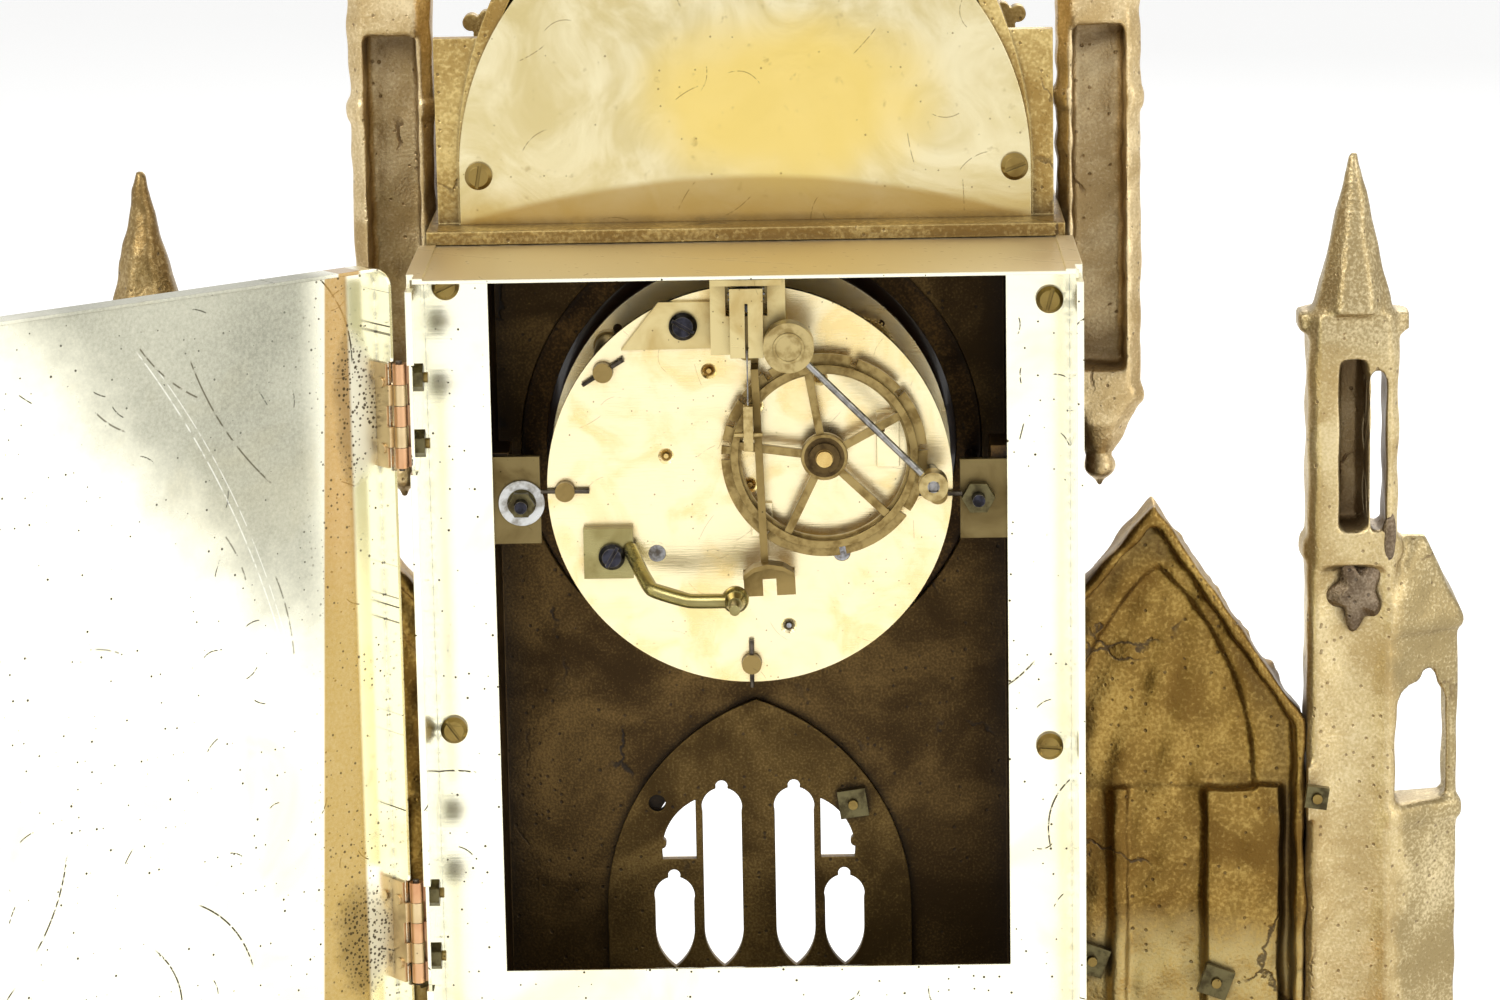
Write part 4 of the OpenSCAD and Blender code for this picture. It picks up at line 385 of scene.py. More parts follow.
def build_score():
    """One bowed scratch from Start along Toward. Its middle line lies 4 Bow s (1 - s) aside at the share s of its
    Length."""
    tree, n, given, out = new_group(
        "score",
        [("Vector", "Vector", None), ("Start", "Vector", (0, 0, 0)), ("Toward", "Vector", (1, 0, 0)),
         ("Length", "Float", 0.05), ("Bow", "Float", 0.0), ("Width", "Float", 0.0004)],
        ["Mask"],
    )
    local = n.add("VectorMath", {"operation": "SUBTRACT"}, i0=given["Vector"], i1=given["Start"]).outputs[0]
    aside = n.add("VectorMath", {"operation": "CROSS_PRODUCT"}, i0=given["Toward"], i1=(0, 1, 0)).outputs[0]
    along = n.add("VectorMath", {"operation": "DOT_PRODUCT"}, i0=local, i1=given["Toward"]).outputs["Value"]
    across = n.add("VectorMath", {"operation": "DOT_PRODUCT"}, i0=local, i1=aside).outputs["Value"]
    share = n.maths("DIVIDE", along, given["Length"])
    arch = n.times(n.times(share, n.minus(1.0, share)), n.times(given["Bow"], 4.0))
    off = n.maths("DIVIDE", n.maths("ABSOLUTE", n.minus(across, arch)), given["Width"])
    ends = n.times(n.band(share, 0.0, 0.03), n.band(share, 1.0, 0.97))
    link(tree, n.times(n.band(off, 1.0, 0.3), ends), out.inputs["Mask"])
    return tree


SCORE = build_score()
SCRATCHES = build_scratches()
SPECKS = build_specks()
CASTING = build_casting()


def recess(nodes, reach):
    """1 deep in a corner or a hollow and 0 in the open, looked for over reach metres."""
    open_share = nodes.add("AmbientOcclusion", {"samples": 6}, Distance=reach).outputs["AO"]
    return nodes.minus(1.0, open_share)


def rounded(nodes, radius):
    """The surface's normal, with its edges rounded by radius."""
    return nodes.add("Bevel", {"samples": 4}, Radius=radius).outputs[0]


def edge(nodes, radius):
    """1 along a rubbed edge and 0 on a flat."""
    true = nodes.add("NewGeometry").outputs["True Normal"]
    agree = nodes.add("VectorMath", {"operation": "DOT_PRODUCT"}, i0=rounded(nodes, radius), i1=true).outputs["Value"]
    return nodes.band(agree, 0.985, 0.86)


def give(material, *names):
    """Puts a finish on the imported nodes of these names."""
    for name in names:
        for place in frame["nodes"][name].material_slots:
            place.material = material


def bump(nodes, height, strength, distance, normal=None):
    sockets = {"Height": height, "Strength": strength, "Distance": distance}
    if normal is not None:
        sockets["Normal"] = normal
    return nodes.add("Bump", **sockets).outputs[0]


# Castings: the plinth, front, aisles, turrets, towers and upper gable are sand-cast bronze, gilt and long worn.
# They are bolted together from behind; their backs keep the rough skin of the mould.


def cast_finish(name, *shades, front=None, split=0.0, zones=(), grain=0.0009, rough=(0.3, 0.5), strength=0.55):
    """Worn gilding in four shades: light on rubbed edges and high grain, middle on the skin, dark in blotches and
    deep in recesses. In front of the plane Y = split the four front shades take over. Each zone is (axis, from, to,
    shade, share): the shade comes in as the coordinate goes from one value to the other, along a ragged edge."""
    made, n, shader = new_material(name)
    where = n.place()
    cast = use_group(n, CASTING, Vector=where, Grain=grain)
    x, y, z = n.split(where)
    if front is not None:
        ahead = n.band(y, split + 0.0003, split - 0.0003)
        shades = [n.blend(ahead, behind, before) for behind, before in zip(shades, front)]
    light, middle, dark, deep = shades
    tint = n.blend(n.band(cast["Tone"], 0.36, 0.68), dark, middle)
    ragged = n.times(n.minus(cast["Tone"], 0.5), 0.02)
    for axis, begin, end, shade, share in zones:
        reached = n.band(n.plus((x, y, z)[axis], ragged), begin, end)
        tint = n.blend(n.times(reached, share), tint, shade)
    stipple = n.band(n.noise(where, 0.0006, 2, 0.7), 0.56, 0.7)
    tint = n.blend(n.times(stipple, 0.3), tint, deep)
    sheen = n.band(n.plus(n.times(cast["Fine"], 0.6), n.times(cast["Tone"], 0.5)), 0.5, 0.74)
    tint = n.blend(n.times(sheen, 0.75), tint, light)
    # Deep colour in recesses found by ambient occlusion: patina in the hollows, and painted shade as well.
    hollow = n.band(recess(n, 0.012), 0.12, 0.75)
    tint = n.blend(n.times(hollow, 0.9), tint, deep)
    marks = n.maths("MAXIMUM", n.times(cast["Pits"], 0.7), cast["Cracks"])
    tint = n.blend(n.times(marks, 0.8), tint, deep)
    rubbed = n.times(edge(n, 0.0007), n.between(cast["Fine"], 0.4, 1.0))
    tint = n.blend(n.times(rubbed, 0.7), tint, light)
    link(n.tree, tint, shader.inputs["Base Color"])
    link(n.tree, n.between(n.maths("MAXIMUM", hollow, marks), 0.93, 0.55), shader.inputs["Metallic"])
    link(n.tree, n.between(cast["Tone"], rough[1], rough[0]), shader.inputs["Roughness"])
    link(n.tree, bump(n, cast["Height"], strength, 0.0006, rounded(n, 0.0005)), shader.inputs["Normal"])
    return made


GILT = [colour(226, 198, 126), colour(196, 164, 96), colour(150, 118, 62), colour(66, 46, 22)]
gilt_worn = cast_finish("worn_gilding", *GILT)
gilt_ledge = cast_finish(
    "ledge_gilding",
    colour(226, 202, 138),
    colour(194, 168, 106),
    colour(152, 122, 66),
    colour(70, 52, 27),
    zones=[(2, 0.3045, 0.3015, colour(140, 112, 62), 0.7)],
)
gilt_tower = cast_finish(
    "tower_gilding",
    colour(236, 216, 172),
    colour(214, 192, 148),
    colour(184, 158, 110),
    colour(92, 66, 30),
    grain=0.0007,
)
gilt_pale = cast_finish(
    "pale_gilding",
    colour(222, 204, 162),
    colour(200, 180, 132),
    colour(172, 148, 100),
    colour(104, 80, 48),
    grain=0.0007,
    # The first zone is painted shade: the porch beyond x = -0.155, which the key lamp lights strongly, is darkened.
    # The second makes the spire above z = 0.255 darker.
    zones=[(0, -0.155, -0.159, colour(146, 130, 92), 0.8), (2, 0.255, 0.275, colour(148, 130, 92), 0.8)],
)
gilt_turret = cast_finish(
    "turret_gilding",
    colour(190, 166, 118),
    colour(154, 130, 84),
    colour(118, 94, 54),
    colour(54, 40, 22),
    grain=0.0008,
)
gilt_amber = cast_finish(
    "amber_gilding",
    colour(186, 156, 88),
    colour(148, 118, 58),
    colour(114, 86, 38),
    colour(56, 40, 18),
    zones=[(2, 0.126, 0.110, colour(198, 178, 122), 0.85)],
)
give(gilt_worn, "plinth", "bezel")
give(gilt_ledge, "gable")
give(gilt_tower, "tower_left", "tower_right")
give(gilt_amber, "aisle_left", "aisle_right")
give(gilt_pale, "turret_left")
give(gilt_turret, "turret_right")


def cast_skin(node, cell, rough, seed):
    """A node's solid as it left the sand. Its skin is laid again in even cells and smoothed, and each point then
    moves along its normal by rough times the mean of twelve plane waves, sin(way . point + phase), whose random
    directions are 4 to 16 millimetres long from crest to crest."""
    packed = frame["nodes"][node]
    mesh = packed.data.copy()
    loose = bmesh.new()
    loose.from_mesh(mesh)
    bmesh.ops.remove_doubles(loose, verts=loose.verts, dist=1e-6)
    loose.to_mesh(mesh)
    loose.free()
    made = bpy.data.objects.new(node + "_skin", mesh)
    bpy.context.scene.collection.objects.link(made)
    even = made.modifiers.new("even cells", "REMESH")
    even.mode, even.voxel_size = "VOXEL", cell
    soft = made.modifiers.new("softened", "SMOOTH")
    soft.factor, soft.iterations = 0.5, 2
    skin = bpy.data.meshes.new_from_object(made.evaluated_get(bpy.context.evaluated_depsgraph_get()))
    made.modifiers.clear()
    count = len(skin.vertices)
    points, normals = np.empty(3 * count), np.empty(3 * count)
    skin.vertices.foreach_get("co", points)
    skin.vertex_normals.foreach_get("vector", normals)
    points, normals = points.reshape(-1, 3), normals.reshape(-1, 3)
    chance = np.random.default_rng(seed)
    ways = chance.normal(size=(12, 3))
    ways *= 2 * math.pi / (np.linalg.norm(ways, axis=1) * chance.uniform(0.004, 0.016, 12))[:, None]
    swell = np.sin(points @ ways.T + chance.uniform(0, 6.28, 12)).mean(axis=1)
    points = points + normals * (rough * swell)[:, None]
    skin.vertices.foreach_set("co", points.ravel())
    skin.polygons.foreach_set("use_smooth", np.full(len(skin.polygons), True))
    skin.update()
    made.data = skin
    skin.materials.clear()
    skin.materials.append(packed.material_slots[0].material)
    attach(made, "case")
    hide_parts(node)
    return made


for seed, (node, rough) in enumerate(
    [("aisle_left", 0.0011), ("aisle_right", 0.0011), ("turret_left", 0.0006), ("turret_right", 0.0009),
     ("tower_left", 0.0008), ("tower_right", 0.0008)]
):
    cast_skin(node, 0.00095, rough, seed)

# Solder on the pale turret: two old lumps where the casting was mended from behind, grey-brown and pitted.
# They sit in the trough of its back, half sunk in the bronze.


def lump(name, centre, half, points_of_star, spread):
    """A closed ball of half sizes half; its radius across X and Z grows by spread in the points of a star."""
    rows, ring = 25, 48
    down = np.linspace(0, math.pi, rows)[:, None]
    around = np.linspace(0, 2 * math.pi, ring, endpoint=False)[None, :]
    arms = spread * np.sin(down) * np.cos(points_of_star * around + 0.6)
    reach = 1 + arms + 0.08 * np.sin(3 * around + 5 * down)
    height = np.cos(down) + 0 * around
    ball = np.stack([np.sin(down) * np.cos(around) * reach, height, np.sin(down) * np.sin(around) * reach], axis=-1)
    points = (np.array(centre) + ball * np.array(half)).reshape(-1, 3)
    made = mesh_object(name, points, tube_faces(rows, ring))
    turn_outwards(made, join=True)
    return made


solder = cast_finish(
    "old_solder",
    colour(150, 134, 112),
    colour(114, 98, 78),
    colour(86, 70, 54),
    colour(50, 38, 28),
    grain=0.0006,
    strength=0.8,
)
for name, centre, half, arms, spread in [
    ("solder_star", (-0.1455, -0.0212, 0.2045), (0.0058, 0.0026, 0.0078), 5, 0.24),
    ("solder_run", (-0.1530, -0.0200, 0.2180), (0.0016, 0.0016, 0.0066), 2, 0.1),
]:
    piece = lump(name, centre, half, arms, spread)
    piece.data.materials.append(solder)
    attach(piece, "case")

# Front casting, portal tracery and bezel seat: cast in the same bronze and bolted up from behind.
# Inside the box they keep a dark brown patina that nobody polishes, and that dark brown is painted shade of the closed
# box as well; the side that faces the room is gilt.

PATINA_AND_SHADE = [colour(112, 84, 46), colour(72, 54, 31), colour(46, 33, 20), colour(18, 13, 9)]
TRACERY = [colour(136, 112, 66), colour(104, 82, 45), colour(70, 53, 27), colour(22, 16, 10)]
DULL = {"grain": 0.0006, "rough": (0.38, 0.6), "strength": 0.35, "front": GILT}
give(cast_finish("front_casting", *PATINA_AND_SHADE, split=-0.0362, **DULL), "facade")
give(cast_finish("tracery_casting", *TRACERY, split=-0.0358, **DULL), "portal_tracery")
give(cast_finish("seat_casting", *PATINA_AND_SHADE, split=-0.0405, **DULL), "bezel_seat")

# Box: rolled sheet brass, folded and soldered, and screwed by its flanges to the back of the casting.
# It was polished bright, then scratched in use; its top is painted a darker tan, a painted reflection of the gable's
# dark underside.


def sheet_finish(name, bright, stain, dirt_and_shade, where_of, marks=1.0, rough=0.13, overlay_with_painted_reflection=None):
    """Polished sheet: bright, with a soft stain, dirt in scratches and specks, dirt and painted shade in corners, and
    a fine rolled streak.
    """
    made, n, shader = new_material(name)
    where = where_of(n)
    x, y, z = n.split(where)
    cloud = n.noise(where, 0.045, 4, 0.55, 0.8)
    tint = n.blend(n.times(n.band(cloud, 0.54, 0.72), 0.45), bright, stain)
    streak = n.add("TexNoise", Vector=n.join(n.times(x, 60.0), 0.0, n.times(z, 1500.0)), Scale=1.0, Detail=2.0)
    long_marks = {"Cell": 0.034, "Length": 0.34, "Width": 0.0075, "Share": 0.22 * marks}
    short_marks = {"Cell": 0.0075, "Length": 0.28, "Width": 0.024, "Share": 0.12 * marks}
    long_lines = use_group(n, SCRATCHES, Vector=where, **long_marks)["Mask"]
    short_lines = use_group(n, SCRATCHES, Vector=where, **short_marks)["Mask"]
    dots = use_group(n, SPECKS, Vector=where, Cell=0.0032, Size=0.11, Share=0.3 * marks)["Mask"]
    wear_and_shade = n.maths("MAXIMUM", long_lines, n.maths("MAXIMUM", short_lines, dots))
    # Darker corners found by ambient occlusion: dirt, and painted shade as well.
    corner = n.times(n.band(recess(n, 0.004), 0.35, 0.8), n.band(n.noise(where, 0.002, 3), 0.42, 0.6))
    wear_and_shade = n.maths("MAXIMUM", wear_and_shade, n.times(corner, 0.7))
    tint = n.blend(wear_and_shade, tint, dirt_and_shade)
    shine = n.between(wear_and_shade, 1.0, 0.3)
    gloss = n.plus(n.between(wear_and_shade, rough, 0.6), n.times(streak.outputs[0], 0.05))
    # The overlay paints a reflection into the sheet's colour, and on the door also adds marks of its own.
    if overlay_with_painted_reflection is not None:
        tint, gloss = overlay_with_painted_reflection(n, tint, gloss)
    link(n.tree, tint, shader.inputs["Base Color"])
    link(n.tree, shine, shader.inputs["Metallic"])
    link(n.tree, gloss, shader.inputs["Roughness"])
    relief = n.plus(n.times(streak.outputs[0], 0.12), n.times(n.noise(where, 0.02, 2), 0.6))
    link(n.tree, bump(n, relief, 0.18, 0.0004, rounded(n, 0.0003)), shader.inputs["Normal"])
    return made


BRIGHT_BRASS = colour(255, 252, 228)
SHEET_STAIN = colour(236, 220, 168)
SHEET_DIRT_AND_SHADE = colour(74, 66, 44)
box_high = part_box("box")[1]


def slanted(nodes):
    """Object coordinates sheared so that a flat pattern in X and Z also runs on over the box's sides and top."""
    x, y, z = nodes.split(nodes.place())
    return nodes.join(nodes.plus(x, nodes.times(y, 0.9)), 0.0, nodes.plus(z, nodes.times(y, 0.7)))


def top_painted_reflection(n, tint, gloss):
    """The top, which faces up, is painted a darker tan and made rougher: a painted reflection of the gable's dark
    underside above it.
    """
    upward = n.split(n.add("NewGeometry").outputs["True Normal"])[2]
    at_top = n.band(n.split(n.place())[2], box_high.z - 0.004, box_high.z - 0.002)
    top_reflection_share = n.times(n.band(upward, 0.7, 0.9), at_top)
    return n.blend(n.times(top_reflection_share, 0.8), tint, colour(206, 184, 138)), n.plus(gloss, n.times(top_reflection_share, 0.3))


give(sheet_finish("box_sheet", BRIGHT_BRASS, SHEET_STAIN, SHEET_DIRT_AND_SHADE, slanted, 1.0, 0.12, top_painted_reflection), "box")

# Door: a flat panel of the same sheet with a turned rim, hung on two hinges.
# It stands open, so its painted grey reflection, its stains and its scores are laid in its own plane.

door_joint = joint_named("door_swing")
DOOR_HINGE = Vector(door_joint["pos_m"])
DOOR_OPEN = math.radians(door_joint["range_deg"][1])


def in_door(nodes):
    """Object coordinates turned about the hinge into the shut door's plane. X runs from the hinge and Z is upright."""
    spot = nodes.add("TexCoord").outputs["Object"]
    moved = nodes.add("VectorMath", {"operation": "SUBTRACT"}, i0=spot, i1=tuple(DOOR_HINGE)).outputs[0]
    return nodes.add("VectorRotate", {"rotation_type": "Z_AXIS"}, Vector=moved, Angle=DOOR_OPEN).outputs[0]


def door_marks_and_painted_reflection(n, tint, gloss):
    """A painted grey reflection over the upper free corner, ending along a slant; a yellow strip beside the hinges
    with dark grime where fingers caught it; long fine arcs. X runs from the hinge and Z from the middle of the door,
    in metres."""
    where = in_door(n)
    x, y, z = n.split(where)
    grain = n.noise(where, 0.0007, 2, 0.7)
    ragged = n.times(n.minus(n.noise(where, 0.012, 3), 0.5), 0.03)
    # Painted reflection: grey laid over the upper free corner, where the polished door would mirror something dark.
    slant = n.plus(n.plus(z, n.times(x, 1.06)), ragged)
    grey_painted_reflection = n.times(n.band(slant, -0.008, 0.034), n.band(x, -0.012, -0.024))
    grey_painted_reflection = n.times(grey_painted_reflection, n.between(n.noise(where, 0.05, 2), 0.55, 1.25))
    grey_painted_reflection = n.times(grey_painted_reflection, n.between(grain, 0.62, 1.0))
    tint = n.blend(n.maths("MINIMUM", grey_painted_reflection, 1.0), tint, colour(128, 128, 114))
    strip = n.minus(x, n.times(z, 0.0426))
    strip = n.times(n.band(strip, -0.0206, -0.0199), n.band(x, -0.0088, -0.0100))
    strip = n.times(strip, n.between(grain, 0.8, 1.0))
    tint = n.blend(strip, tint, n.blend(n.band(z, 0.07, 0.03), colour(180, 142, 76), colour(174, 142, 66)))
    grime = 0.0
    for spot_x, spot_z, wide, tall in [(-0.0075, 0.087, 0.007, 0.017), (-0.011, -0.036, 0.009, 0.016)]:
        far = n.oval(x, z, (spot_x, spot_z), (wide, tall))
        grime = n.maths("MAXIMUM", n.band(n.plus(far, n.times(ragged, 60.0)), 1.2, 0.3), grime)
    specks = use_group(n, SPECKS, Vector=where, Cell=0.0011, Size=0.42, Share=1.0)["Mask"]
    flecks = use_group(n, SPECKS, Vector=where, Cell=0.0019, Size=0.2, Share=0.35)["Mask"]
    near = n.times(flecks, n.band(x, -0.026, -0.016))
    tint = n.blend(n.times(grime, n.between(specks, 0.35, 0.95)), tint, colour(66, 54, 36))
    tint = n.blend(n.times(near, 0.8), tint, colour(66, 54, 36))
    for start, end, bow, wide, strength in DOOR_SCORES:
        start, end = Vector((start[0], 0, start[1])), Vector((end[0], 0, end[1]))
        flat = n.join(x, 0.0, z)
        score = use_group(n, SCORE, Vector=flat, Start=start, Toward=(end - start).normalized(),
                          Length=(end - start).length, Bow=bow, Width=wide)["Mask"]
        score = n.times(score, n.band(n.noise(where, 0.003, 3), 0.38, 0.5))
        tint = n.blend(n.times(score, strength), tint, SHEET_DIRT_AND_SHADE if strength > 0.5 else colour(255, 255, 246))
    return tint, n.plus(gloss, n.times(n.maths("MAXIMUM", grey_painted_reflection, grime), 0.3))


# Each as its start and end (X, Z), its bow to the right of the way, its half width and its strength
DOOR_SCORES = [
    ((-0.0651, 0.1087), (-0.0294, 0.0343), 0.0040, 0.00025, 0.45),
    ((-0.0600, 0.1040), (-0.0270, 0.0290), 0.0044, 0.0002, 0.4),
    ((-0.0640, 0.1090), (-0.0495, 0.0960), -0.0012, 0.0003, 0.8),
    ((-0.0512, 0.1047), (-0.0311, 0.0739), -0.0022, 0.0003, 0.8),
    ((-0.0759, 0.0965), (-0.0680, 0.0909), -0.0006, 0.0003, 0.8),
    ((-0.0312, 0.0530), (-0.0270, 0.0339), 0.0008, 0.0003, 0.7),
    ((-0.0440, 0.0640), (-0.0390, 0.0530), 0.0006, 0.0003, 0.7),
    ((-0.0800, 0.0440), (-0.0725, 0.0420), 0.0004, 0.0003, 0.7),
]

give(sheet_finish("door_sheet", BRIGHT_BRASS, SHEET_STAIN, SHEET_DIRT_AND_SHADE, in_door, 0.8, 0.14, door_marks_and_painted_reflection), "door")

# Round-headed cover and base plate: satin sheet brass, polished by hand in swirls, with large yellow stains.
# The cover is screwed behind the upper gable, and the plate closes the plinth from below.


def cover_finish():
    made, n, shader = new_material("cover_sheet")
    where = n.place()
    swirl = n.noise(where, 0.03, 5, 0.6, 2.2)
    tint = n.blend(n.band(swirl, 0.3, 0.7), colour(214, 196, 140), colour(236, 224, 182))
    x, y, z = n.split(where)
    wander = n.times(n.minus(n.noise(where, 0.025, 3), 0.5), 1.3)
    far = n.oval(x, z, (-0.0105, 0.329), (0.03, 0.018))
    tint = n.blend(n.times(n.band(n.plus(far, wander), 1.9, 0.3), 0.9), tint, colour(236, 208, 118))
    sag = n.plus(z, n.times(n.maths("POWER", x, 2.0), 2.3))
    sunk = n.band(n.plus(sag, n.times(wander, 0.0006)), 0.3125, 0.3105)
    tint = n.blend(n.times(sunk, 0.75), tint, colour(176, 146, 82))
    tint = n.blend(n.times(n.band(n.noise(where, 0.0035, 4), 0.62, 0.76), 0.4), tint, colour(150, 122, 66))
    dots = use_group(n, SPECKS, Vector=where, Cell=0.004, Size=0.08, Share=0.16)["Mask"]
    fine = use_group(n, SCRATCHES, Vector=where, Cell=0.012, Length=0.34, Width=0.012, Share=0.3)["Mask"]
    tint = n.blend(n.times(n.maths("MAXIMUM", dots, fine), 0.6), tint, colour(120, 96, 50))
    link(n.tree, tint, shader.inputs["Base Color"])
    shader.inputs["Metallic"].default_value = 0.94
    link(n.tree, n.between(swirl, 0.14, 0.26), shader.inputs["Roughness"])
    link(n.tree, bump(n, swirl, 0.12, 0.0004, rounded(n, 0.0003)), shader.inputs["Normal"])
    return made


cover_sheet = cover_finish()
give(cover_sheet, "gable_cover", "base_plate")

# Movement: plates, wheels, cocks and stands of brass, sawn, turned and polished, under old yellow lacquer.
# Four pillars pinned through the back plate hold it together, and two brackets hold it to the casting.


def movement_finish(name, bright, warm, dull, rough=(0.14, 0.3)):
    """Polished brass: bright with warm clouds, dull in corners, and fine straight-grained scratches."""
    made, n, shader = new_material(name)
    where = n.place()
    cloud = n.noise(where, 0.014, 4, 0.55, 0.7)
    tint = n.blend(n.band(cloud, 0.42, 0.72), bright, warm)
    # Dull colour in corners and hollows found by ambient occlusion: painted shade.
    hollow = n.band(recess(n, 0.005), 0.2, 0.85)
    tint = n.blend(n.times(hollow, 0.7), tint, dull)
    dots = use_group(n, SPECKS, Vector=where, Cell=0.0028, Size=0.09, Share=0.22)["Mask"]
    fine = use_group(n, SCRATCHES, Vector=where, Cell=0.009, Length=0.36, Width=0.011, Share=0.3)["Mask"]
    tint = n.blend(n.times(n.maths("MAXIMUM", dots, n.times(fine, 0.5)), 0.7), tint, dull)
    grain = n.add("TexNoise", Vector=n.place(scale=(220, 220, 2600)), Scale=1.0, Detail=2.0).outputs[0]
    link(n.tree, tint, shader.inputs["Base Color"])
    shader.inputs["Metallic"].default_value = 0.97
    link(n.tree, n.plus(n.between(cloud, rough[0], rough[1]), n.times(grain, 0.06)), shader.inputs["Roughness"])
    link(n.tree, bump(n, grain, 0.1, 0.0002, rounded(n, 0.00018)), shader.inputs["Normal"])
    return made


plate_brass = movement_finish("plate_brass", colour(249, 234, 190), colour(242, 216, 152), colour(120, 92, 44))
wheel_brass = movement_finish("wheel_brass", colour(220, 190, 122), colour(190, 154, 86), colour(70, 50, 24))
part_brass = movement_finish(
    "part_brass", colour(214, 196, 142), colour(190, 164, 106), colour(84, 62, 32), (0.2, 0.36)
)
stand_brass = movement_finish(
    "stand_brass", colour(158, 148, 100), colour(126, 112, 66), colour(48, 38, 20), (0.18, 0.32)
)
brown_brass = movement_finish(
    "brown_brass", colour(146, 124, 76), colour(110, 90, 50), colour(40, 30, 16), (0.22, 0.4)
)
# Movement brackets: satin brass, painted darker for the shade they stand in inside the box.
shaded_bracket_brass = movement_finish(
    "shaded_bracket_brass", colour(126, 110, 72), colour(94, 78, 46), colour(38, 30, 18), (0.3, 0.46)
)
give(plate_brass, "back_plate", "front_plate")
give(part_brass, "suspension_bracket", "suspension_chops")
give(stand_brass, "bell_stand")
give(brown_brass, "crutch", "pillars")
give(shaded_bracket_brass, "movement_brackets")
give(
    wheel_brass,
    "going_barrel",
    "strike_barrel",
    "second_wheel",
    "centre_wheel",
    "third_wheel",
    "escape_wheel",
    "cannon_pinion",
    "minute_wheel",
    "hour_wheel",
    "strike_second_wheel",
    "pin_wheel",
    "warning_wheel",
    "fly",
)

# Elbow of the bell stand: one rod, bent smoothly from the block out to the ball, over the straight lengths of the
# packed stand. A ring of 28 points is carried along a curve through the same corners.

PLATE_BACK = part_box("back_plate")[1].y
DIAL_Z = joint_named("centre_spin")["pos_m"][2]
# From the middle of the back plate's rear face, in millimetres
STAND_CORNERS = np.array(
    [[28.4, 1.7, -14], [26.4, 6, -17.2], [23, 14, -21.2], [14.2, 18.5, -23], [3.6, 21.6, -22.4]]
)
ELBOW_RADIUS = 1.7 * MM
NEARNESS = 0.24


def smooth_rod(name, corners, radius, steps=14, ring=28):
    """A closed rod along a curve through the corners a, b, c, d. From b to c, as t goes from 0 to 1, it runs along
    b (1 - e) + c e + s ((c - a) t (1 - t)^2 - (d - b) t^2 (1 - t)) with e = 3 t^2 - 2 t^3. A small s, the NEARNESS,
    keeps it near the straight."""
    ends = np.vstack([2 * corners[:1] - corners[1:2], corners, 2 * corners[-1:] - corners[-2:-1]])
    a, b, c, d = (ends[k : len(ends) - 3 + k, None] for k in range(4))
    t = np.linspace(0, 1, steps, endpoint=False)[None, :, None]
    ease = 3 * t**2 - 2 * t**3
    bends = (c - a) * t * (1 - t) ** 2 - (d - b) * t**2 * (1 - t)
    middle = b * (1 - ease) + c * ease + NEARNESS * bends
    middle = np.vstack([middle.reshape(-1, 3), corners[-1:]])
    along = np.gradient(middle, axis=0)
    along /= np.linalg.norm(along, axis=1)[:, None]
    aside = np.cross(along, [0, 0, 1])
    aside /= np.linalg.norm(aside, axis=1)[:, None]
    upward = np.cross(aside, along)
    turn = np.linspace(0, 2 * math.pi, ring, endpoint=False)[None, :, None]
    points = middle[:, None] + radius * (np.cos(turn) * aside[:, None] + np.sin(turn) * upward[:, None])
    last = (len(middle) - 1) * ring
    caps = [list(range(ring - 1, -1, -1)), list(range(last, last + ring))]
    made = mesh_object(name, points.reshape(-1, 3), tube_faces(len(middle), ring).tolist() + caps)
    turn_outwards(made)
    return made


elbow = smooth_rod("bell_elbow", STAND_CORNERS * MM + np.array([0, PLATE_BACK, DIAL_Z]), ELBOW_RADIUS)
elbow.data.materials.append(stand_brass)
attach(elbow, "case")

# Steel work: levers, clicks, arbors, pins and the regulator's wheel are filed steel, grey with brown spots.
# The screws and the hands are blued by heat and have lost some of it along their edges.


def steel_finish(name, bright, dull, edge_tint, rough):
    """Filed steel: bright and dull in small clouds, with rubbed edges and dark corners."""
    made, n, shader = new_material(name)
    where = n.place()
    cloud = n.noise(where, 0.0025, 4, 0.6)
    tint = n.blend(n.band(cloud, 0.38, 0.66), bright, dull)
    # Dark corners found by ambient occlusion: painted shade.
    tint = n.blend(n.times(n.band(recess(n, 0.003), 0.25, 0.8), 0.7), tint, colour(34, 26, 20))
    tint = n.blend(n.times(edge(n, 0.00025), 0.6), tint, edge_tint)
    link(n.tree, tint, shader.inputs["Base Color"])
    shader.inputs["Metallic"].default_value = 0.95
    link(n.tree, n.between(cloud, rough[0], rough[1]), shader.inputs["Roughness"])
    link(n.tree, bump(n, n.noise(where, 0.0008, 3), 0.25, 0.0002, rounded(n, 0.00015)), shader.inputs["Normal"])
    return made


grey_steel = steel_finish(
    "grey_steel", colour(168, 168, 172), colour(96, 88, 80), colour(206, 204, 200), (0.25, 0.5)
)
blued_steel = steel_finish(
    "blued_steel", colour(58, 58, 68), colour(34, 32, 34), colour(140, 132, 118), (0.22, 0.42)
)
dark_steel = steel_finish(
    "dark_steel", colour(96, 88, 78), colour(52, 46, 40), colour(136, 128, 116), (0.3, 0.5)
)
give(dark_steel, "pins")
give(
    grey_steel,
    "going_winder",
    "strike_winder",
    "going_click",
    "strike_click",
    "pallets",
    "regulator_arbor",
    "lifting_lever",
    "locking_lever",
)
give(blued_steel, "movement_screws", "hour_hand", "minute_hand", "regulator_wheel")

# Hammer: a turned brass head on a bent steel rod, and a brass hub on the square of its arbor.
# Head and hub are told from the rod by their distance from their own middles.


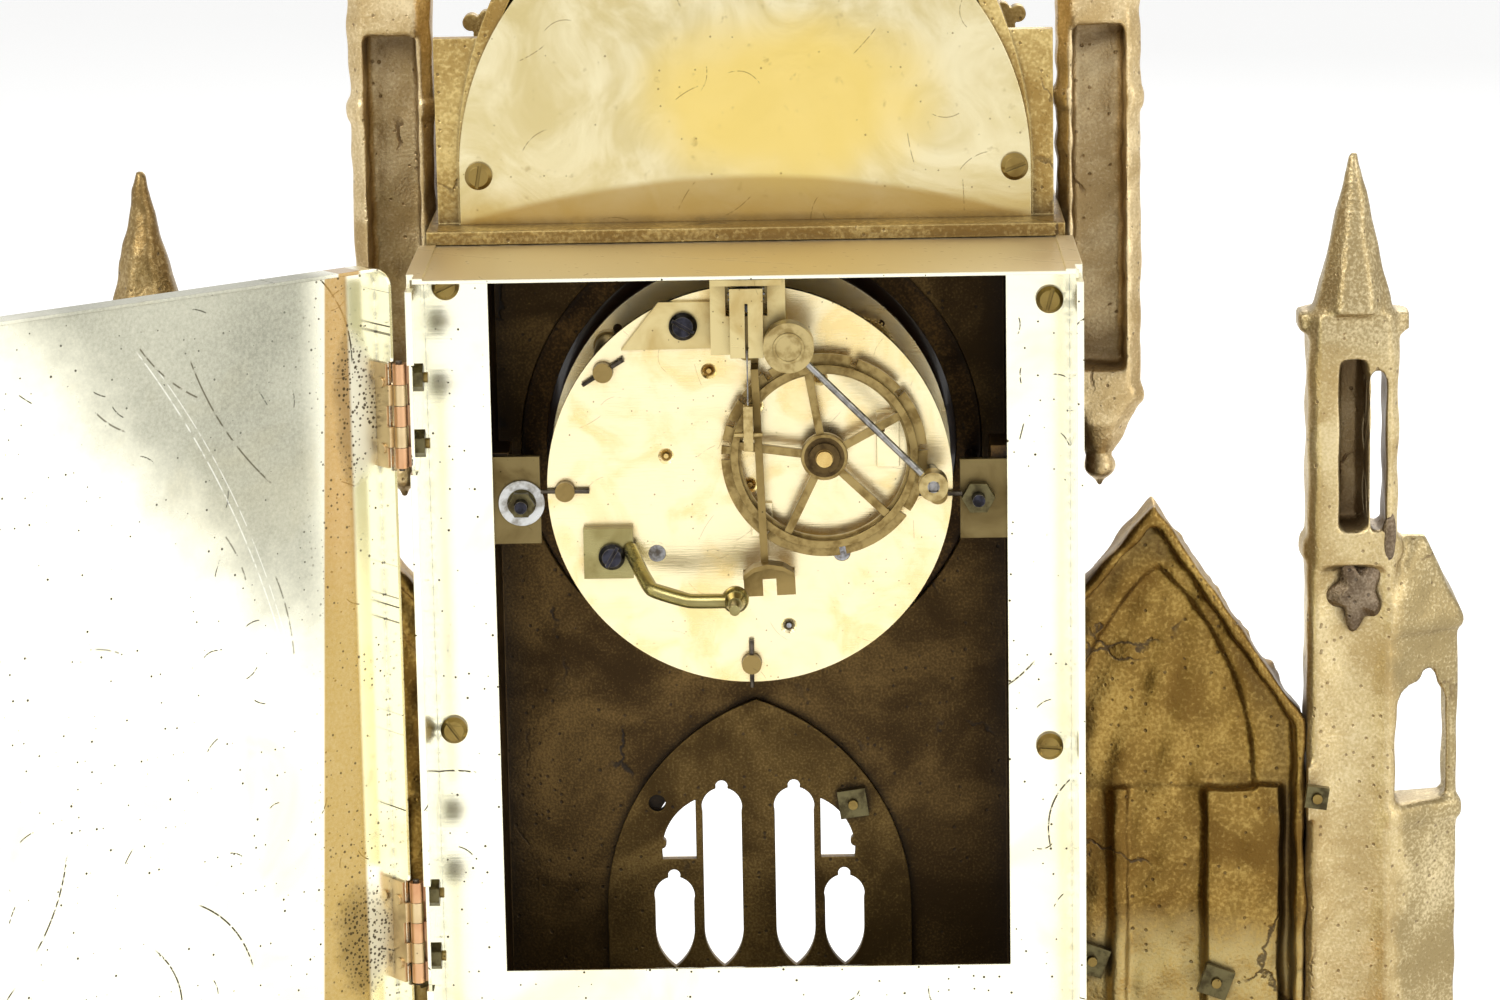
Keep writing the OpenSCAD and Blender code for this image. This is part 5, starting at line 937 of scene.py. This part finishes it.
def two_metals(name, brass, dull_brass, grey, dull_grey, spots):
    """Brass within each spot, a circle in X and Z given as (x, z, inner radius, outer radius), and steel outside."""
    made, n, shader = new_material(name)
    where = n.place()
    x, y, z = n.split(where)
    cloud = n.noise(where, 0.003, 4, 0.6)
    inside = 0.0
    for spot_x, spot_z, inner, outer in spots:
        away = n.maths("SQRT", n.oval(x, z, (spot_x, spot_z), (1.0, 1.0)))
        ring = n.times(n.maths("LESS_THAN", away, outer), n.maths("GREATER_THAN", away, inner))
        inside = n.maths("MAXIMUM", ring, inside)
    soft = n.band(cloud, 0.4, 0.68)
    tint = n.blend(inside, n.blend(soft, grey, dull_grey), n.blend(soft, brass, dull_brass))
    # Dark corners found by ambient occlusion: painted shade.
    tint = n.blend(n.times(n.band(recess(n, 0.004), 0.25, 0.8), 0.7), tint, colour(40, 30, 20))
    link(n.tree, tint, shader.inputs["Base Color"])
    shader.inputs["Metallic"].default_value = 0.95
    link(n.tree, n.between(cloud, 0.22, 0.42), shader.inputs["Roughness"])
    link(n.tree, bump(n, n.noise(where, 0.0009, 3), 0.2, 0.0002, rounded(n, 0.0002)), shader.inputs["Normal"])
    return made


give(
    two_metals(
        "hammer_metals",
        colour(190, 170, 118),
        colour(150, 128, 80),
        colour(158, 156, 154),
        colour(92, 86, 80),
        [(-0.0096, 0.2761, 0.0, 0.0061), (-0.0425, 0.2430, 0.0014, 0.0037)],
    ),
    "hammer",
)

# Count wheel and suspension: the wheel's crossings are brown brass round a darker hub, and a brass ferrule holds
# the steel spring that the pendulum hangs on. Hub and ferrule are told apart in the same way.

count_joint = joint_named("count_arbor_spin")
COUNT_AT = (count_joint["pos_m"][0], count_joint["pos_m"][2])
give(
    two_metals(
        "count_brass",
        colour(92, 74, 44),
        colour(62, 48, 28),
        colour(158, 136, 86),
        colour(118, 96, 54),
        [(*COUNT_AT, 0.0021, 0.0047)],
    ),
    "count_wheel",
)
give(
    two_metals(
        "suspension_metals",
        colour(196, 174, 120),
        colour(158, 134, 84),
        colour(150, 148, 146),
        colour(92, 86, 80),
        [(0.0, 0.2562, 0.0, 0.0056)],
    ),
    "suspension_spring",
)

# Hinges, nuts and case screws: drawn brass gone brown or pink with handling.
# The door's leaves are riveted, the box's are screwed through to hexagonal nuts, and a pin holds each pair.

hinge_brass = movement_finish(
    "hinge_brass", colour(212, 166, 124), colour(190, 132, 92), colour(92, 62, 42), (0.2, 0.36)
)
nut_brass = movement_finish(
    "nut_brass", colour(150, 128, 74), colour(116, 94, 50), colour(46, 34, 18), (0.26, 0.42)
)
leaf_brass = movement_finish(
    "leaf_brass", colour(214, 190, 146), colour(190, 160, 116), colour(92, 68, 44), (0.2, 0.36)
)
give(hinge_brass, "hinge_box_leaves")
give(leaf_brass, "hinge_door_leaves")
give(nut_brass, "case_screws", "door_catch")
give(
    two_metals(
        "nut_metals",
        colour(206, 206, 204),
        colour(150, 146, 138),
        colour(104, 96, 66),
        colour(66, 58, 38),
        [(0.0536, 0.2364, 0.0034, 0.0056)],
    ),
    "nuts",
)

# Dial: white enamel on copper, with black fired figures and a thin crackle, behind a domed glass.
# Its back, which shows past the movement's plates, is bare copper gone dark.

dial_low, dial_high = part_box("dial")
enamel, paint, shader = new_material("white_enamel")
crazing = paint.add("TexVoronoi", {"feature": "DISTANCE_TO_EDGE"}, Vector=paint.place(), Scale=150.0)
faint = paint.times(paint.band(crazing.outputs["Distance"], 0.012, 0.0), 0.35)
cream = paint.blend(paint.noise(paint.place(), 0.03, 3), colour(242, 240, 230), colour(234, 229, 212))
behind = paint.band(paint.split(paint.place())[1], dial_low.y + 0.0008, dial_low.y + 0.001)
face = paint.blend(faint, cream, colour(170, 158, 132))
link(paint.tree, paint.blend(behind, face, colour(58, 38, 24)), shader.inputs["Base Color"])
shader.inputs["Roughness"].default_value = 0.12
shader.inputs["Coat Weight"].default_value = 0.4
give(enamel, "dial")

# Figures of the dial: twelve Roman hours that stand on the centre, and a track of sixty minutes between two rings.
# They are fired black enamel, a few hundredths of a millimetre proud of the white.

DIAL_MIDDLE = np.array([0.0, dial_low.y, (dial_low.z + dial_high.z) / 2])
INK_LIFT = 0.04 * MM
FIGURES = ["XII", "I", "II", "III", "IIII", "V", "VI", "VII", "VIII", "IX", "X", "XI"]
HOUR_OUT, HOUR_IN, TRACK_OUT, TRACK_IN = 0.0440, 0.0330, 0.0482, 0.0458
THICK, THIN = 1.25 * MM, 0.42 * MM


def strokes_of(figure):
    """The strokes of one hour as rows (x0, r0, x1, r1, width): x across the figure, r away from the dial's centre."""
    widths = {"I": 2.3 * MM, "V": 5.2 * MM, "X": 5.2 * MM}
    left = -sum(widths[letter] for letter in figure) / 2
    rows = []
    for letter in figure:
        right = left + widths[letter]
        a, b, middle = left + 0.5 * MM, right - 0.5 * MM, (left + right) / 2
        if letter == "I":
            rows.append((middle, HOUR_IN, middle, HOUR_OUT, THICK))
        elif letter == "V":
            rows += [(a, HOUR_OUT, middle, HOUR_IN, THICK), (b, HOUR_OUT, middle, HOUR_IN, THIN)]
        else:
            rows += [(a, HOUR_OUT, b, HOUR_IN, THICK), (b, HOUR_OUT, a, HOUR_IN, THIN)]
        left = right
    reach = sum(widths[letter] for letter in figure) / 2
    return rows + [(-reach, r, reach, r, 0.3 * MM) for r in (HOUR_IN, HOUR_OUT)]


def strokes_on_dial():
    """Every stroke as a flat bar: four corners across its width in front, the same four behind, turned to its hour."""
    rows, turns = [], []
    for hour, figure in enumerate(FIGURES):
        made = strokes_of(figure)
        rows += made
        turns += [hour * math.pi / 6] * len(made)
    for minute in range(60):
        rows.append((0.0, TRACK_IN, 0.0, TRACK_OUT, (0.9 if minute % 5 == 0 else 0.34) * MM))
        turns.append(minute * math.pi / 30)
    rows, turns = np.array(rows), np.array(turns)
    start, end = rows[:, :2], rows[:, 2:4]
    along = (end - start) / np.linalg.norm(end - start, axis=1)[:, None]
    aside = np.stack([-along[:, 1], along[:, 0]], axis=1) * rows[:, 4:5] / 2
    corners = np.stack([start - aside, start + aside, end + aside, end - aside], axis=1)
    cos, sin = np.cos(turns)[:, None], np.sin(turns)[:, None]
    x = corners[..., 0] * cos + corners[..., 1] * sin
    z = corners[..., 1] * cos - corners[..., 0] * sin
    layers = [np.stack([x, np.full_like(x, depth), z], axis=-1) for depth in (-INK_LIFT, INK_LIFT)]
    points = (np.concatenate(layers, axis=1) + DIAL_MIDDLE).reshape(-1, 3)
    bar = np.array([[0, 1, 2, 3], [7, 6, 5, 4], [0, 4, 5, 1], [1, 5, 6, 2], [2, 6, 7, 3], [3, 7, 4, 0]])
    return points, (np.arange(len(rows))[:, None, None] * 8 + bar).reshape(-1, 4)


def ring_on_dial(radius, width):
    """A flat ring: a rectangle width by twice the ink's height, carried round a circle."""
    turn = np.linspace(0, 2 * math.pi, 180, endpoint=False)[:, None]
    out = radius + width * np.array([0.5, 0.5, -0.5, -0.5])
    depth = INK_LIFT * np.array([1, -1, -1, 1])
    points = np.stack([np.sin(turn) * out, depth + 0 * turn, np.cos(turn) * out], axis=-1) + DIAL_MIDDLE
    return points.reshape(-1, 3), tube_faces(180, 4, closed=True)


ink, paint, shader = new_material("black_enamel")
faded = paint.noise(paint.place(), 0.004, 3)
link(paint.tree, paint.blend(faded, colour(18, 17, 18), colour(44, 40, 38)), shader.inputs["Base Color"])
shader.inputs["Roughness"].default_value = 0.25
for name, (points, faces) in [
    ("dial_figures", strokes_on_dial()),
    ("track_outer", ring_on_dial(TRACK_OUT, 0.3 * MM)),
    ("track_inner", ring_on_dial(TRACK_IN, 0.3 * MM)),
]:
    piece = mesh_object(name, points, faces, smooth=False)
    turn_outwards(piece)
    piece.data.materials.append(ink)
    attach(piece, "case")

# Domed glass of the bezel: clear, with a little smear.
# It is held in the bezel's groove and swings with it.

glass, paint, shader = new_material("domed_glass")
smear = paint.noise(paint.place(), 0.02, 4)
link(paint.tree, paint.between(smear, 0.0, 0.08), shader.inputs["Roughness"])
shader.inputs["Base Color"].default_value = (0.97, 0.99, 0.98, 1)
shader.inputs["Transmission Weight"].default_value = 1.0
shader.inputs["IOR"].default_value = 1.45
give(glass, "bezel_glass")

# Close: the view settings. Nothing is drawn after this.

bpy.context.scene.view_settings.view_transform = "Standard"
